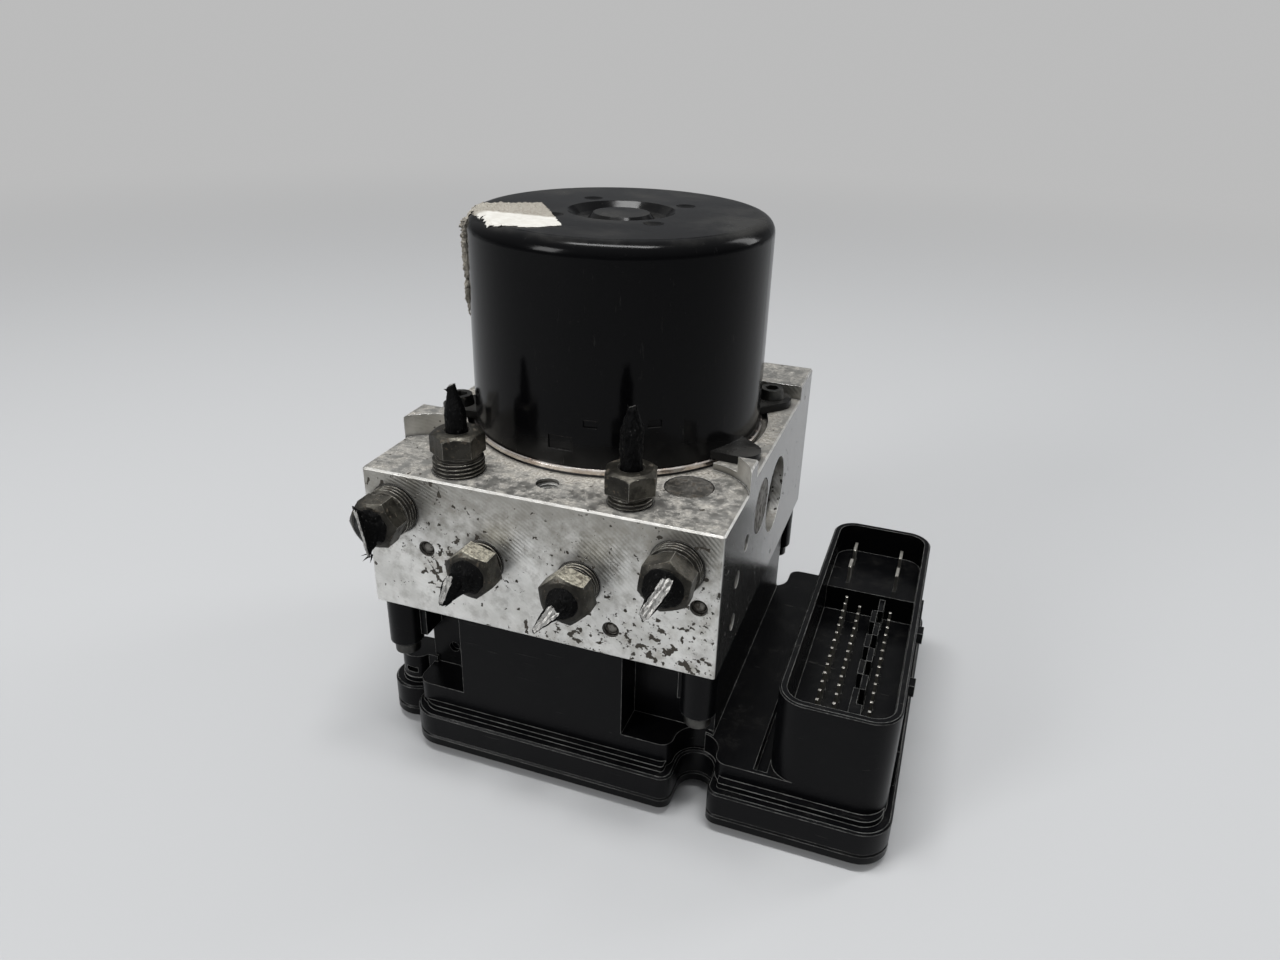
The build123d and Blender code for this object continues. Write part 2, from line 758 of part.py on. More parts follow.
with BuildPart() as commutator:
    with BuildSketch(Plane.XY.offset(commutator_bottom)):
        Circle(commutator_radius)
        Circle(shaft_radius + fit_clearance, mode=Mode.SUBTRACT)
        with PolarLocations(commutator_radius, rotor_slots, start_angle=180 / rotor_slots):
            Rectangle(commutator_slot_length, commutator_slot_width, mode=Mode.SUBTRACT)
    extrude(amount=core_bottom - end_turn_height - commutator_bottom)
save(commutator, "commutator")

magnet_clearance = 0.1
magnet_gap = 7.0
magnet_overhang = 1.5
magnet_count = 4

with BuildPart() as magnets:
    with BuildSketch(Plane.XY.offset(core_bottom - magnet_overhang)):
        Circle(can_inner - magnet_clearance)
        Circle(core_radius + air_gap, mode=Mode.SUBTRACT)
        with PolarLocations(can_inner, magnet_count, start_angle=180 / magnet_count):
            Rectangle(2 * (can_inner - core_radius), magnet_gap, mode=Mode.SUBTRACT)
    extrude(amount=core_length + 2 * magnet_overhang)
save(magnets, "magnets")

# ---------------------------------------------------------------- shaft, cam and bearings

journal_radius = 3.0
cam_height = 13.0
ring_height = 11.0
rear_bearing_inset = 1.0
rear_bearing_radius = boss_inner - rear_bearing_inset
rear_bearing_length = 5.2
rear_bearing_top = can_top - boss_drop - can_wall
chamber_floor_z = block_base + cam_chamber_floor
end_float = 0.3

with BuildPart() as motor_shaft:
    with BuildSketch(Plane.XY.offset(chamber_floor_z - lower_bearing_height + end_float)):
        Circle(journal_radius)
    extrude(amount=pump_z - cam_height / 2 - chamber_floor_z + lower_bearing_height - end_float)
    with BuildSketch(Plane.XY.offset(pump_z - cam_height / 2)):
        with Locations((0, throw)):
            Circle(cam_radius)
    extrude(amount=cam_height)
    with BuildSketch(Plane.XY.offset(pump_z + cam_height / 2)):
        Circle(shaft_radius)
    extrude(amount=rear_bearing_top - end_float - pump_z - cam_height / 2)
save(motor_shaft, "motor_shaft")

with BuildPart() as cam_ring:
    with BuildSketch(Plane.XY.offset(pump_z - ring_height / 2)):
        with Locations((0, throw)):
            Circle(cam_ring_radius)
            Circle(cam_radius + fit_clearance, mode=Mode.SUBTRACT)
    extrude(amount=ring_height)
save(cam_ring, "cam_ring")

with BuildPart() as rear_bearing:
    with BuildSketch(Plane.XY.offset(rear_bearing_top - rear_bearing_length)):
        Circle(rear_bearing_radius)
        Circle(shaft_radius + running_clearance, mode=Mode.SUBTRACT)
    extrude(amount=rear_bearing_length)
save(rear_bearing, "rear_bearing")

with BuildPart() as shaft_bearing:
    with BuildSketch(Plane.XY.offset(shelf_z - shaft_bearing_height)):
        Circle(cam_chamber_radius - fit_clearance)
        Circle(shaft_radius + running_clearance, mode=Mode.SUBTRACT)
    extrude(amount=shaft_bearing_height)
save(shaft_bearing, "shaft_bearing")

with BuildPart() as lower_bearing:
    with BuildSketch(Plane.XY.offset(chamber_floor_z - lower_bearing_height)):
        Circle(lower_bearing_radius)
        Circle(journal_radius + running_clearance, mode=Mode.SUBTRACT)
    extrude(amount=lower_bearing_height)
save(lower_bearing, "lower_bearing")

# ---------------------------------------------------------------- pump, one half each side

cam_clearance = 0.3
pump_floor = block_side - pump_bore_depth
piston_start = cam_ring_radius + throw + cam_clearance
collar_setback = 2.0
collar_start = pump_floor + collar_setback
collar_radius = 6.4
collar_thickness = 2.0
spring_guide_radius = 3.0
guide_stop_gap = 1.9
sleeve_bore_radius = 7.2
spring_outer = 6.2
spring_inner = 5.0
plug_end = block_side - plug_recess
plug_start = plug_end - plug_thickness
spring_guide_length = plug_start - collar_start - collar_thickness - pump_stroke - guide_stop_gap
plug_dish_radius = 6.0
plug_dish_depth = 1.2

for side, name in ((-1, "left"), (1, "right")):
    # Everything in one half lies on the axis of its bore, measured outward from the cam
    half = Plane((0, 0, pump_z), x_dir=(0, 1, 0), z_dir=(side, 0, 0))
    with BuildPart() as pump_piston:
        with BuildSketch(half.offset(piston_start)):
            Circle(piston_radius)
        extrude(amount=collar_start - piston_start)
        with BuildSketch(half.offset(collar_start)):
            Circle(collar_radius)
        extrude(amount=collar_thickness)
        with BuildSketch(half.offset(collar_start + collar_thickness)):
            Circle(spring_guide_radius)
        extrude(amount=spring_guide_length)
    save(pump_piston, f"pump_piston_{name}")
    with BuildPart() as pump_spring:
        with BuildSketch(half.offset(collar_start + collar_thickness)):
            Circle(spring_outer)
            Circle(spring_inner, mode=Mode.SUBTRACT)
        extrude(amount=plug_start - collar_start - collar_thickness)
    save(pump_spring, f"pump_spring_{name}")
    with BuildPart() as pump_sleeve:
        with BuildSketch(half.offset(pump_floor)):
            Circle(pump_bore_radius - fit_clearance)
            Circle(sleeve_bore_radius, mode=Mode.SUBTRACT)
        extrude(amount=plug_start - pump_floor)
    save(pump_sleeve, f"pump_sleeve_{name}")
    with BuildPart() as pump_plug:
        with BuildSketch(half.offset(plug_start)):
            Circle(pump_bore_radius - fit_clearance)
        extrude(amount=plug_thickness)
        with BuildSketch(half.offset(plug_end)):
            Circle(plug_dish_radius)
        extrude(amount=-plug_dish_depth, mode=Mode.SUBTRACT)
    save(pump_plug, f"pump_plug_{name}")

# ---------------------------------------------------------------- accumulators

accumulator_floor = block_back - accumulator_depth
cap_recess = 0.5
cap_start = block_back - cap_recess - cap_thickness
cup_room = cap_start - accumulator_floor - end_float
cup_stop_gap = 2.7
cup_floor = 1.5
cup_inner = 10.8
cup_length = cup_room - accumulator_stroke - cup_stop_gap
accumulator_spring_outer = 10.0
accumulator_spring_inner = 8.4

for side, name in ((-1, "left"), (1, "right")):
    bore = Plane(
        (side * accumulator_x, accumulator_floor, block_base + accumulator_height),
        x_dir=(1, 0, 0),
        z_dir=(0, 1, 0),
    )
    with BuildPart() as accumulator_piston:
        with BuildSketch(bore.offset(end_float)):
            Circle(accumulator_radius - running_clearance)
        extrude(amount=cup_length)
        with BuildSketch(bore.offset(end_float + cup_floor)):
            Circle(cup_inner)
        extrude(amount=cup_length, mode=Mode.SUBTRACT)
    save(accumulator_piston, f"accumulator_piston_{name}")
    with BuildPart() as accumulator_spring:
        with BuildSketch(bore.offset(end_float + cup_floor)):
            Circle(accumulator_spring_outer)
            Circle(accumulator_spring_inner, mode=Mode.SUBTRACT)
        extrude(amount=cap_start - accumulator_floor - end_float - cup_floor)
    save(accumulator_spring, f"accumulator_spring_{name}")
    with BuildPart() as accumulator_cap:
        with BuildSketch(bore.offset(cap_start - accumulator_floor)):
            Circle(accumulator_radius - fit_clearance)
        extrude(amount=cap_thickness)
    save(accumulator_cap, f"accumulator_cap_{name}")

# ---------------------------------------------------------------- solenoid valves

valve_end_gap = 0.2
valve_tube_bottom = 21.0
valve_collar_radius = 5.2
valve_collar_thickness = 1.5
coil_clearance = 0.1
coil_top = block_base - valve_collar_thickness
coil_leg = 0.8
coil_leg_offset = 4.6

with BuildPart() as solenoid_valves:
    with BuildSketch(Plane.XY.offset(block_base)):
        with Locations(*valve_spots):
            Circle(valve_radius)
    extrude(amount=valve_depth - valve_end_gap)
    with BuildSketch(Plane.XY.offset(block_base - valve_collar_thickness)):
        with Locations(*valve_spots):
            Circle(valve_collar_radius)
    extrude(amount=valve_collar_thickness)
    with BuildSketch(Plane.XY.offset(valve_tube_bottom)):
        with Locations(*valve_spots):
            Circle(valve_tube_radius)
    extrude(amount=coil_top - valve_tube_bottom)
save(solenoid_valves, "solenoid_valves")

with BuildPart() as solenoid_coils:
    with BuildSketch(Plane.XY.offset(coil_top - coil_height)):
        with Locations(*valve_spots):
            Circle(coil_radius)
            Circle(valve_tube_radius + coil_clearance, mode=Mode.SUBTRACT)
    extrude(amount=coil_height)
    with BuildSketch(Plane.XY.offset(board_top)):
        for x, y in valve_spots:
            with Locations((x - coil_leg_offset, y), (x + coil_leg_offset, y)):
                Rectangle(coil_leg, coil_leg)
    extrude(amount=coil_top - coil_height - board_top)
save(solenoid_coils, "solenoid_coils")

# ---------------------------------------------------------------- motor lead

lead_clearance = 0.1
lead_drop = 6.0
lead_radius = lead_bore_radius - lead_clearance
lead_bottom = body_height - lead_drop
lead_top = end_plate_top + brush_plate_thickness
terminal_width = 2.8
terminal_thickness = 0.8
terminal_offset = 2.2
terminal_rise = 5.0
terminal_top = lead_top + terminal_rise
terminal_spots = [(lead_spot[0] + side * terminal_offset, lead_spot[1]) for side in (-1, 1)]

with BuildPart() as motor_lead:
    with BuildSketch(Plane.XY.offset(lead_bottom)):
        with Locations(lead_spot):
            Circle(lead_radius)
        with Locations(*terminal_spots):
            Rectangle(terminal_thickness, terminal_width, mode=Mode.SUBTRACT)
    extrude(amount=lead_top - lead_bottom)
save(motor_lead, "motor_lead")

with BuildPart() as motor_terminals:
    with BuildSketch(Plane.XY.offset(board_top)):
        with Locations(*terminal_spots):
            Rectangle(terminal_thickness, terminal_width)
    extrude(amount=terminal_top - board_top)
save(motor_terminals, "motor_terminals")

# ---------------------------------------------------------------- control unit housing

notch_width = 8.9
notch_depth = 12.4
notch_mouth_radius = 3.0
notch_spots = [(tower_x, flange_front, 1), (tower_x, flange_back, -1)]
lobe_spot = (-41.3, -39.2)
lobe_radius = 7.0
column_radius = 4.6
column_top = 20.0
column_slot = (3.2, 1.8, 1.6)
rear_recess_depth = 10.4
rear_recess_width = 9.4
recess_back = body_front + recess_depth
rear_recess_front = body_back - rear_recess_depth
web_bottom = 31.5
web_reach_right = 5.2
web_reach_left = 6.0
notch_overrun = 4.0
ledge_notch_margin = 1.2
deck_notch_margin = 0.6
deck_back_inset = 1.6
groove_width = 3.1
groove_depth = 4.0
groove_back = -17.0
groove_front_wall = 1.1
groove_board_gap = 0.5
coding_rib_drop = 1.2
column_slot_drop = 5.2
board_clearance = 0.3
pit_radius = 1.4
pit_depth = 1.2
pit_spot = (-29.6, 24.0)
latch_size = (1.6, 3.4, 3.0)
latch_spots = ((-6.0, 35.0), (-25.5, 33.0))
root_overlap = 0.2
rail_thickness = 0.9
rail_front_inset = 12.0
rail_back_inset = 10.0


def area(left, right, front, back, mode=Mode.ADD):
    """A rectangle in the open sketch, given by its four sides."""
    with Locations(((left + right) / 2, (front + back) / 2)):
        Rectangle(right - left, back - front, mode=mode)


def notches(margin=0.0):
    """Take the two screw-access notches out of the open sketch, wider by `margin`."""
    for x, edge, inward in notch_spots:
        end = edge + inward * (notch_depth - notch_width / 2)
        far = edge - inward * notch_overrun
        half_width = notch_width / 2 + margin
        area(x - half_width, x + half_width, min(far, end), max(far, end), Mode.SUBTRACT)
        with Locations((x, end)):
            Circle(half_width, mode=Mode.SUBTRACT)


def is_notch_mouth(corner):
    """Whether a corner of an outline is where a notch opens to the front or the rear."""
    for x, edge, _ in notch_spots:
        if abs(corner.X - x) < notch_width and abs(corner.Y - edge) < notch_depth / 2:
            return True
    return False


def round_mouths(inset=0.0):
    """Round the open sketch where the notches open to the front and the rear."""
    fillet(vertices().filter_by(is_notch_mouth), notch_mouth_radius - inset)


def unit_outline(inset=0.0):
    """The outline that the flange and the cover share, smaller by `inset`."""
    width = flange_right - flange_left - 2 * inset
    depth = flange_back - flange_front - 2 * inset
    with Locations(((flange_left + flange_right) / 2, (flange_front + flange_back) / 2)):
        RectangleRounded(width, depth, flange_corner - inset)
    with Locations(lobe_spot):
        Circle(lobe_radius - inset)
    notches(inset)
    round_mouths(inset)


def body_outline(inset=0.0):
    """The walls under the valve block, set back round the four screw towers."""
    area(body_left + inset, body_right - inset, recess_back + inset, rear_recess_front - inset)
    area(panel_left + inset, panel_right - inset, body_front + inset, recess_back + inset)
    rear_left = body_left + rear_recess_width - tower_radius / 2
    rear_right = body_right - rear_recess_width
    area(rear_left + inset, rear_right - inset, rear_recess_front - inset, body_back - inset)


def is_tower_foot(edge):
    """Whether a round edge is the lower rim of a screw tower."""
    low = abs(edge.center().Z - tower_bottom) < edge_tolerance
    return low and abs(edge.radius - tower_radius) < edge_tolerance


with BuildPart() as ecu_housing:
    # The flange over the cover, and the low step inside its edge
    with BuildSketch(Plane.XY.offset(cover_height)):
        unit_outline()
    extrude(amount=flange_height)
    chamfer(ecu_housing.faces().sort_by(Axis.Z)[0].outer_wire().edges(), seam_chamfer)
    chamfer(ecu_housing.faces().sort_by(Axis.Z)[-1].outer_wire().edges(), flange_edge)
    with BuildSketch(Plane.XY.offset(flange_top)):
        unit_outline(flange_step_inset)
    extrude(amount=flange_step_height)
    # The ledge in front of the body and the deck beside it
    with BuildSketch(Plane.XY.offset(flange_top)):
        with Locations(((body_left + body_right) / 2, (body_front + body_back) / 2)):
            RectangleRounded(body_right - body_left, body_back - body_front, body_corner)
        notches(ledge_notch_margin)
        round_mouths()
    extrude(amount=ledge_top - flange_top)
    with BuildSketch(Plane.XY.offset(flange_top)):
        area(body_right - wall, shroud_right - shroud_corner, shroud_front, flange_back - deck_back_inset)
        with Locations(((shroud_left + shroud_right) / 2, (shroud_front + shroud_back) / 2)):
            RectangleRounded(shroud_right - shroud_left, shroud_back - shroud_front, shroud_corner)
        notches(deck_notch_margin)
        round_mouths()
    extrude(amount=deck_rise)
    # The body walls up to the block, and the connector's shroud
    with BuildSketch(Plane.XY.offset(ledge_top)):
        body_outline()
    extrude(amount=body_height - ledge_top)
    with BuildSketch(Plane.XY.offset(deck_top)):
        with Locations(((shroud_left + shroud_right) / 2, (shroud_front + shroud_back) / 2)):
            RectangleRounded(shroud_right - shroud_left, shroud_back - shroud_front, shroud_corner)
    extrude(amount=shroud_rim - deck_top)
    shroud_top = ecu_housing.faces().filter_by(Axis.Z).group_by(Axis.Z)[-2][0]
    chamfer(shroud_top.outer_wire().edges(), rim_edge)
    # Room for the board and the coils, open at the cover and at the block
    with BuildSketch(Plane.XY.offset(cover_height)):
        area(body_left + wall, body_right - wall, body_front + wall, body_back - wall)
        area(body_right - 2 * wall, shroud_right - wall, shroud_front + wall, shroud_back)
        notches(wall + deck_notch_margin)
    extrude(amount=deck_top - wall - cover_height, mode=Mode.SUBTRACT)
    with BuildSketch(Plane.XY.offset(deck_top - wall)):
        body_outline(wall)
    extrude(amount=body_height, mode=Mode.SUBTRACT)
    with BuildSketch(Plane.XY.offset(deck_top - wall)):
        area(
            shroud_left + wall,
            shroud_right - wall,
            shroud_front + shroud_corner,
            shroud_back - wall,
        )
    extrude(amount=socket_floor - socket_floor_thickness - deck_top + wall, mode=Mode.SUBTRACT)
    # The narrow groove between the deck and the shroud, walled off from the board's room
    groove_right = shroud_left
    groove_left = groove_right - groove_width
    with BuildSketch(Plane.XY.offset(board_top + groove_board_gap)):
        area(groove_left - wall, groove_right + wall, shroud_front, groove_back + wall)
    extrude(amount=deck_top - board_top - groove_board_gap)
    with BuildSketch(Plane.XY.offset(deck_top - groove_depth)):
        area(groove_left, groove_right, shroud_front + groove_front_wall, groove_back)
    extrude(amount=groove_depth, mode=Mode.SUBTRACT)
    # The socket, with the raised shelf of the large blades at its rear end
    with BuildSketch(Plane.XY.offset(socket_floor)):
        with Locations(((shroud_left + shroud_right) / 2, (shroud_front + shroud_back) / 2)):
            RectangleRounded(
                shroud_right - shroud_left - 2 * shroud_wall,
                shroud_back - shroud_front - 2 * shroud_wall,
                shroud_corner - shroud_wall,
            )
    extrude(amount=shroud_rim, mode=Mode.SUBTRACT)
    with BuildSketch(Plane.XY.offset(socket_floor)):
        area(
            shroud_left + shroud_wall / 2,
            shroud_right - shroud_wall / 2,
            shelf_front,
            shroud_back - shroud_wall / 2,
        )
    extrude(amount=shelf_height)
    # The coding rib between the second and third rows of pins, stepped from side to side
    rib_front = first_pin_y + 2 * pin_pitch
    rib_step = (shelf_front - rib_front) / coding_rib_steps
    with BuildSketch(Plane.XY.offset(socket_floor)):
        for index in range(coding_rib_steps):
            step_x = coding_rib_x + (coding_rib_swing if index % 2 else -coding_rib_swing)
            area(
                step_x - coding_rib_width / 2,
                step_x + coding_rib_width / 2,
                rib_front + index * rib_step,
                rib_front + (index + 1) * rib_step,
            )
        area(
            coding_rib_x - coding_rib_width,
            coding_rib_x + coding_rib_width,
            first_pin_y,
            rib_front,
        )
    extrude(amount=shelf_height - coding_rib_drop)
    # Holes that the pins and blades are moulded into
    with BuildSketch(Plane.XY.offset(deck_top)):
        for x, count in zip(pin_rows, pin_counts):
            for index in range(count):
                with Locations((x, first_pin_y + index * pin_pitch)):
                    Rectangle(pin_side, pin_side)
        with Locations(*blade_spots):
            Rectangle(blade_thickness, blade_width)
    extrude(amount=body_height, mode=Mode.SUBTRACT)
    # Screw towers, with webs to the body, hanging from the block's corners
    with BuildSketch(Plane.XY.offset(tower_bottom)):
        with Locations(*tower_spots):
            Circle(tower_radius)
    extrude(amount=block_base - tower_bottom)
    tower_feet = ecu_housing.edges().filter_by(GeomType.CIRCLE).filter_by(is_tower_foot)
    chamfer(tower_feet, tower_taper)
    with BuildSketch(Plane.XY.offset(web_bottom)):
        for x, y in tower_spots:
            inner_y = recess_back if y < 0 else rear_recess_front
            inner_x = x - web_reach_right if x > 0 else x + web_reach_left
            area(min(x, inner_x), max(x, inner_x), min(y, inner_y), max(y, inner_y))
    extrude(amount=body_height - web_bottom)
    with BuildSketch(Plane.XY.offset(tower_bottom)):
        with Locations(*tower_spots):
            Circle(unit_screw_diameter / 2 + hole_clearance)
    extrude(amount=block_base - tower_bottom, mode=Mode.SUBTRACT)
    # The column on the side lobe, with its slot, and the small pit in the left recess
    with BuildSketch(Plane.XY.offset(flange_top)):
        with Locations(lobe_spot):
            Circle(column_radius)
        area(
            lobe_spot[0],
            body_left + wall / 2,
            lobe_spot[1] - column_radius / 2,
            lobe_spot[1] + column_radius,
        )
    extrude(amount=column_top - flange_top)
    with BuildSketch(Plane((*lobe_spot, column_top - column_slot_drop))):
        with Locations((0, -column_radius)):
            Rectangle(column_slot[0], column_slot[1] * 2)
    extrude(amount=column_slot[2], mode=Mode.SUBTRACT)
    with BuildSketch(Plane((pit_spot[0], recess_back, pit_spot[1]), x_dir=(1, 0, 0), z_dir=(0, 1, 0))):
        Circle(pit_radius)
    extrude(amount=pit_depth, mode=Mode.SUBTRACT)
    # Latch noses and the rail on the outer side of the shroud
    for y, z in latch_spots:
        with BuildSketch(Plane.XY.offset(z - latch_size[2] / 2)):
            area(
                shroud_right - root_overlap,
                shroud_right + latch_size[0],
                y - latch_size[1] / 2,
                y + latch_size[1] / 2,
            )
        extrude(amount=latch_size[2])
    with BuildSketch(Plane.XY.offset(step_top)):
        area(
            shroud_right - root_overlap,
            shroud_right + rail_thickness,
            shroud_front + rail_front_inset,
            shroud_back - rail_back_inset,
        )
    extrude(amount=socket_floor - step_top)
save(ecu_housing, "ecu_housing")

seal_inset = 0.2

with BuildPart() as ecu_seal:
    with BuildSketch(Plane.XY.offset(body_height)):
        body_outline(seal_inset)
    extrude(amount=seal_thickness)
    with BuildSketch(Plane.XY.offset(body_height)):
        body_outline(wall)
    extrude(amount=seal_thickness, mode=Mode.SUBTRACT)
save(ecu_seal, "ecu_seal")

# ---------------------------------------------------------------- board, pins and cover

with BuildPart() as circuit_board:
    with BuildSketch(Plane.XY.offset(board_top - board_thickness)):
        margin = wall + board_clearance
        area(body_left + margin, body_right - wall, body_front + margin, body_back - margin)
        board_right = shroud_right - margin
        area(body_right - 2 * wall, board_right, shroud_front + margin, shroud_back - board_clearance)
        notches(margin + deck_notch_margin)
    extrude(amount=board_thickness)
save(circuit_board, "circuit_board")

with BuildPart() as signal_pins:
    with BuildSketch(Plane.XY.offset(board_top)):
        for x, count in zip(pin_rows, pin_counts):
            for index in range(count):
                with Locations((x, first_pin_y + index * pin_pitch)):
                    Rectangle(pin_side, pin_side)
    extrude(amount=pin_top - board_top)
save(signal_pins, "signal_pins")

with BuildPart() as power_blades:
    with BuildSketch(Plane.XY.offset(board_top)):
        with Locations(*blade_spots):
            Rectangle(blade_thickness, blade_width)
    extrude(amount=blade_top - board_top)
save(power_blades, "power_blades")

with BuildPart() as ecu_cover:
    with BuildSketch(Plane.XY.offset(cover_pan_height)):
        unit_outline()
    extrude(amount=cover_height - cover_pan_height)
    chamfer(ecu_cover.faces().sort_by(Axis.Z)[-1].outer_wire().edges(), seam_chamfer)
    with BuildSketch(Plane.XY):
        unit_outline(cover_pan_inset)
    extrude(amount=cover_pan_height)
    chamfer(ecu_cover.faces().sort_by(Axis.Z)[0].outer_wire().edges(), seam_chamfer)
save(ecu_cover, "ecu_cover")

drive_share = 0.45

with BuildPart() as ecu_screws:
    for x, y in tower_spots:
        with BuildSketch(Plane((x, y, tower_bottom - unit_screw_head_height))):
            Circle(unit_screw_head / 2)
            RegularPolygon(unit_screw_head / 2 * drive_share, 6, mode=Mode.SUBTRACT)
        extrude(amount=unit_screw_head_height / 2)
        with BuildSketch(Plane((x, y, tower_bottom - unit_screw_head_height / 2))):
            Circle(unit_screw_head / 2)
        extrude(amount=unit_screw_head_height / 2)
        with BuildSketch(Plane((x, y, tower_bottom))):
            Circle(unit_screw_diameter / 2)
        extrude(amount=block_base + unit_screw_depth - screw_end_gap - tower_bottom)
save(ecu_screws, "ecu_screws")

# ---------------------------------------------------------------- remnant of a paper label

label_thickness = 0.2
label_reach = 15.0
label_drop = 22.0
label_start = 186.0
label_arc = 76.0

with BuildPart() as label_remnant:
    with BuildSketch(Plane.XZ.rotated((0, 0, label_start))):
        with BuildLine():
            Line((can_radius - label_reach, can_top), (can_radius - can_top_edge, can_top))
            RadiusArc(
                (can_radius - can_top_edge, can_top),
                (can_radius, can_top - can_top_edge),
                can_top_edge,
            )
            Polyline(
                (can_radius, can_top - can_top_edge),
                (can_radius, can_top - label_drop),
                (can_radius + label_thickness, can_top - label_drop),
                (can_radius + label_thickness, can_top - can_top_edge),
            )
            RadiusArc(
                (can_radius + label_thickness, can_top - can_top_edge),
                (can_radius - can_top_edge, can_top + label_thickness),
                -can_top_edge - label_thickness,
            )
            Polyline(
                (can_radius - can_top_edge, can_top + label_thickness),
                (can_radius - label_reach, can_top + label_thickness),
                (can_radius - label_reach, can_top),
            )
        make_face()
    revolve(axis=Axis.Z, revolution_arc=label_arc)
save(label_remnant, "label_remnant")
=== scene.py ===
import json
import math
from collections import namedtuple

import bpy
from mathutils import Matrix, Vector, noise


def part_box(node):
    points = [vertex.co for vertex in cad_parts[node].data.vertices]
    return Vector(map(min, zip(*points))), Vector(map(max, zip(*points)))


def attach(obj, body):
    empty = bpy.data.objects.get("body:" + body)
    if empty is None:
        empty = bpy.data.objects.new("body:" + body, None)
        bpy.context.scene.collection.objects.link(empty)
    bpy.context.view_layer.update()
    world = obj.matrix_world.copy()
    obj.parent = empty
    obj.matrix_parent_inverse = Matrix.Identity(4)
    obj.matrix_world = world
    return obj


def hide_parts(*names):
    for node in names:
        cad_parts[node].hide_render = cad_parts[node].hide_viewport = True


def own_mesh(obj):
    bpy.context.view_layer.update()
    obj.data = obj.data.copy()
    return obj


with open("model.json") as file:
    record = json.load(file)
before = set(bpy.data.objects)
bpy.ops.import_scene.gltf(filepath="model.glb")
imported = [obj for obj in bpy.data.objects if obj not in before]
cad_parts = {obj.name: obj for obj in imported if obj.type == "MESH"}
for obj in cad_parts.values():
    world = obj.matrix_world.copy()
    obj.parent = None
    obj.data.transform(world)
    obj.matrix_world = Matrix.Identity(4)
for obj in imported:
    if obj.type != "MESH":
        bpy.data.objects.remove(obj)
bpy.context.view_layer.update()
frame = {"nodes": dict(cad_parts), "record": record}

# Looks of the anti-lock brake module: a procedural material for each slot, and pieces in the
# place of the frame's pipe nuts, crushed pipes, caulked plugs, torn label and four springs.
# The slivers of coating, the thread in the bracket hole and the label's torn edge are added.
# Lengths are in millimetres of the frame, and are turned to metres where meshes are made.
# Only the studio's floor, lamps and camera are in metres.

MM = 0.001
PER_METRE = 1000.0
X, Y, Z = Vector((1.0, 0.0, 0.0)), Vector((0.0, 1.0, 0.0)), Vector((0.0, 0.0, 1.0))

# ---- sizes shared with the frame

block_front = -52.5
block_side = 43.5
shelf_z = 79.0
can_radius = 37.0
can_base = 80.8
can_top = 132.2
can_edge = 3.6
hex_flats = 11.0
hex_height = 5.5
thread_length = 10.5
neck_length = 1.0
thread_depth = 0.66
thread_pitch = 1.0
pipe_radius = 2.4
nut_bore = 2.52

# Plugs: x and z in front, y and z on the side
front_plugs = [(-27.7, 60.6), (18.7, 49.8), (38.8, 60.6)]
side_plugs = [(-31.2, 66.4), (-38.1, 60.6), (-39.6, 50.0)]


def front_fitting(x, z, *sizes):
    """A fitting on the port face: where it starts, its ways across, along and outward, and its sizes."""
    return Vector((x, block_front, z)), X, Z, -Y, *sizes


def top_fitting(x, y, *sizes):
    """A fitting on the top of the block, likewise."""
    return Vector((x, y, shelf_z)), X, Y, Z, *sizes


# The sizes are the diameter of the thread, how far the hexagon of the nut stands out of the
# block, and how it is turned, in degrees
fittings = {
    "front_1": front_fitting(-35.5, 69.9, 12.0, 4.2, 3.0),
    "front_2": front_fitting(-12.9, 60.7, 10.0, 2.0, 43.0),
    "front_3": front_fitting(10.9, 60.7, 10.0, 3.6, 43.0),
    "front_4": front_fitting(33.5, 69.9, 12.0, 4.0, 22.0),
    "top_1": top_fitting(-22.2, -44.8, 12.0, 4.4, 28.0),
    "top_2": top_fitting(20.0, -44.8, 10.0, 2.8, 46.0),
}


# ---- material helper


